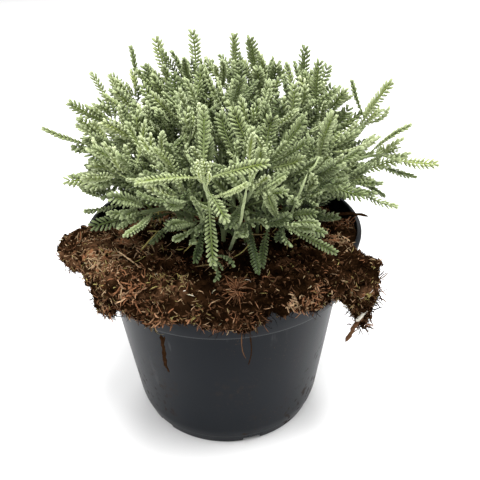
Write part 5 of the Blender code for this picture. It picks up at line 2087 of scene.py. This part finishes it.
    def comb(self, bundle: Bundle, leaf: Leaf, fine: bool) -> None:
        """Builds one leaf: a bare stalk, a rib and four rows of blunt teeth.

        Args:
            bundle: What gathers the triangles.
            leaf: The leaf.
            fine: Whether it is one that is seen close.
        """
        draw = self.draw
        length = (leaf.tip - leaf.root).length
        tone = self.tone_and_shading_of(leaf)
        pitch = self.pitch * (0.86 if leaf.measured and leaf.tip.y < self.front else 1.0)
        if leaf.form is Form.YOUNG:
            pitch *= 0.72
        shares = np.linspace(0.0, 1.0, 12 if fine else 7)
        points, _ = leaf.line(shares)
        felt = np.clip(0.62 - 0.7 * shares, 0.0, 1.0)
        radii = self.rib * np.interp(shares, [0.0, 0.2, 0.7, 1.0], [1.15, 0.95, 1.0, 0.85])
        bundle.strands(points[None], radii[None], 5 if fine else 4, np.array([tone]), felt[None])
        count = max(3, round(length * (1.0 - self.petiole) / pitch))
        shares = np.linspace(self.petiole, 0.975, count)
        root, ahead = leaf.line(shares)
        side = unit(np.cross(leaf.face(), ahead))
        top = np.cross(ahead, side)
        roll = draw.uniform(-0.7, 0.7)
        swell = np.interp(shares, [0.18, 0.34, 0.62, 0.88, 1.0], [0.42, 0.72, 1.0, 1.0, 0.82])
        thick = self.tooth_radius * np.interp(shares, [0.18, 0.5, 1.0], [0.70, 1.0, 1.1])
        away = (leaf.tip - self.plan.centre).length
        if leaf.form is Form.YOUNG:
            thick *= 0.78
        breadth = self.older_breadth * float(np.interp(away, (0.070, 0.100), (1.0, 1.18)))
        if leaf.tip.y < self.front:
            breadth = 0.74 if leaf.tip.z < self.low else 0.95
        detail = Detail.CLOSE
        if not fine:
            thick = thick * self.coarse_swell
            detail = Detail.INNER if away < self.depth else Detail.OUTER
        reaches, ring = detail.value
        paths, sizes = [], []
        for row in (self.row_tilt, math.pi - self.row_tilt, math.pi + self.row_tilt,
                    TWO_PI - self.row_tilt):
            out = side * math.cos(roll + row) + top * math.sin(roll + row)
            reach = (leaf.form.reach * breadth * swell * draw.uniform(0.88, 1.08, count))[:, None]
            lean = (leaf.form.lean + np.radians(38.0) * shares**8)[:, None]
            way = unit(out * np.cos(lean) + ahead * np.sin(lean) + draw.normal(0.0, 0.05, out.shape))
            curl = ahead * reach * 0.14
            paths.append(np.stack([root + way * reach * far + curl * far**2 for far in reaches], 1))
            sizes.append(thick[:, None] * np.array(ring))
        teeth = np.concatenate(paths)
        number = len(teeth)
        cover = draw.uniform(0.62, 1.0) if leaf.form is Form.OPEN else 1.0
        felts = np.tile(np.interp(reaches, [0.0, 0.5, 0.9], [0.0, 0.50, 1.0]), (number, 1)) * cover
        tones = np.clip(tone + draw.normal(0.0, 0.035, number), 0.0, 1.0)
        bundle.strands(teeth, np.concatenate(sizes), 4 if fine else 3, tones, felts)

    def shaft(self, bundle: Bundle, limb: Limb, shown: bool) -> None:
        """Builds a limb's own pale felted stem.

        Args:
            bundle: What gathers the triangles.
            limb: The limb.
            shown: Whether the photograph shows it bare, thick and pale.
        """
        length = limb.length()
        count = max(8, int(length / 0.004))
        marks = np.linspace(0.0, length, count)
        line = np.array([limb.at(mark)[0] for mark in marks])
        line[2:-1] += self.draw.normal(0.0, 0.00012, (count - 3, 3))
        radii = limb.radius * np.linspace(0.84, 0.62, count) * self.draw.uniform(0.92, 1.06, count)
        felt = np.clip(0.90 - 0.95 * np.exp(-marks / 0.035), 0.0, 1.0)
        if shown:
            radii = radii * 1.2
            felt = np.interp(marks / length, (0.0, 0.8), (0.45, 1.0))
        bundle.strands(line[None], radii[None], 8, np.array([0.46 if shown else 0.30]), felt[None])

    def build(self) -> None:
        """Builds one piece for each planned stem."""
        self.grow()
        total = 0
        for number, stem in enumerate(self.stems, 1):
            bundle = Bundle()
            for limb in self.limbs(stem):
                self.shaft(bundle, limb, limb is self.stems[0])
                for leaf in limb.leaves:
                    self.comb(bundle, leaf, leaf.measured or leaf.tip.y < self.front)
                    total += 1
            if number == 1:
                for limb in self.stalks:
                    self.shaft(bundle, limb, True)
            piece = bundle.to_object(f"santolina_stem_{number:02d}", self.material)
            keep(piece, Slot.LEAF, f"leafy_stem_{number:02d}")
        log.info("%d leaves on %d stems", total, len(self.stems))


@dataclass(frozen=True)
class Studio:
    """The floor and the soft lights."""

    sky: float = 0.80
    lamps: tuple[tuple[str, Triple, float, float], ...] = (
        ("top_light", (0.10, -0.20, 1.2), 0.6, 17.0), ("left_light", (-0.9, -0.25, 0.65), 0.6, 4.0),
        ("right_light", (0.9, 0.1, 0.6), 0.6, 3.0), ("back_light", (0.0, 1.7, 1.3), 1.4, 16.0))
    floor_size: float = 4.0
    floor_tone: Triple = (0.93, 0.93, 0.93)
    aim: Triple = (0.0, 0.0, 0.12)

    def light(self, name: str, place: Triple, size: float, power: float) -> None:
        """Adds one soft lamp that looks at the plant.

        Args:
            name: The lamp's name.
            place: Where it stands.
            size: Its width.
            power: Its power in watts.
        """
        data = bpy.data.lights.new(name, "AREA")
        data.shape = "DISK"
        data.size = size
        data.energy = power
        lamp = bpy.data.objects.new(name, data)
        lamp.location = place
        lamp.rotation_euler = (Vector(place) - Vector(self.aim)).to_track_quat("Z", "Y").to_euler()
        bpy.context.scene.collection.objects.link(lamp)

    def build(self) -> None:
        """Builds the floor, the world and the lamps."""
        world = bpy.data.worlds.new("studio")
        world.use_nodes = True
        world.node_tree.nodes["Background"].inputs["Color"].default_value = (1.0, 1.0, 1.0, 1.0)
        world.node_tree.nodes["Background"].inputs["Strength"].default_value = self.sky
        bpy.context.scene.world = world
        bpy.context.scene.view_settings.view_transform = "Standard"
        for lamp in self.lamps:
            self.light(*lamp)
        paint = Paint("pale_floor", 0.9)
        paint.drive("Base Color", self.floor_tone)
        size = self.floor_size
        corners = np.array([(-size, -size, 0.0), (size, -size, 0.0), (size, size, 0.0),
                            (-size, size, 0.0)]) - np.array([0.0, 0.0, 0.0002])
        floor = mesh_object("floor", corners, np.array([(0, 1, 2), (0, 2, 3)]), paint.material)


def main() -> None:
    """Builds the pot, the substrate, the bush and the studio."""
    logging.basicConfig(level=logging.INFO, format="%(message)s")
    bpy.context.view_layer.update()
    pot = Pot()
    mat = Mat(pot)
    pot.build(SlatePlastic().make())
    camera = Camera()
    camera.build()
    Ground(mat, camera, PlantLitter().make()).build()
    Santolina(BushPlan(mat), camera, FeltedLeaf().make()).build()
    Studio().build()


if __name__ == "__main__":
    main()
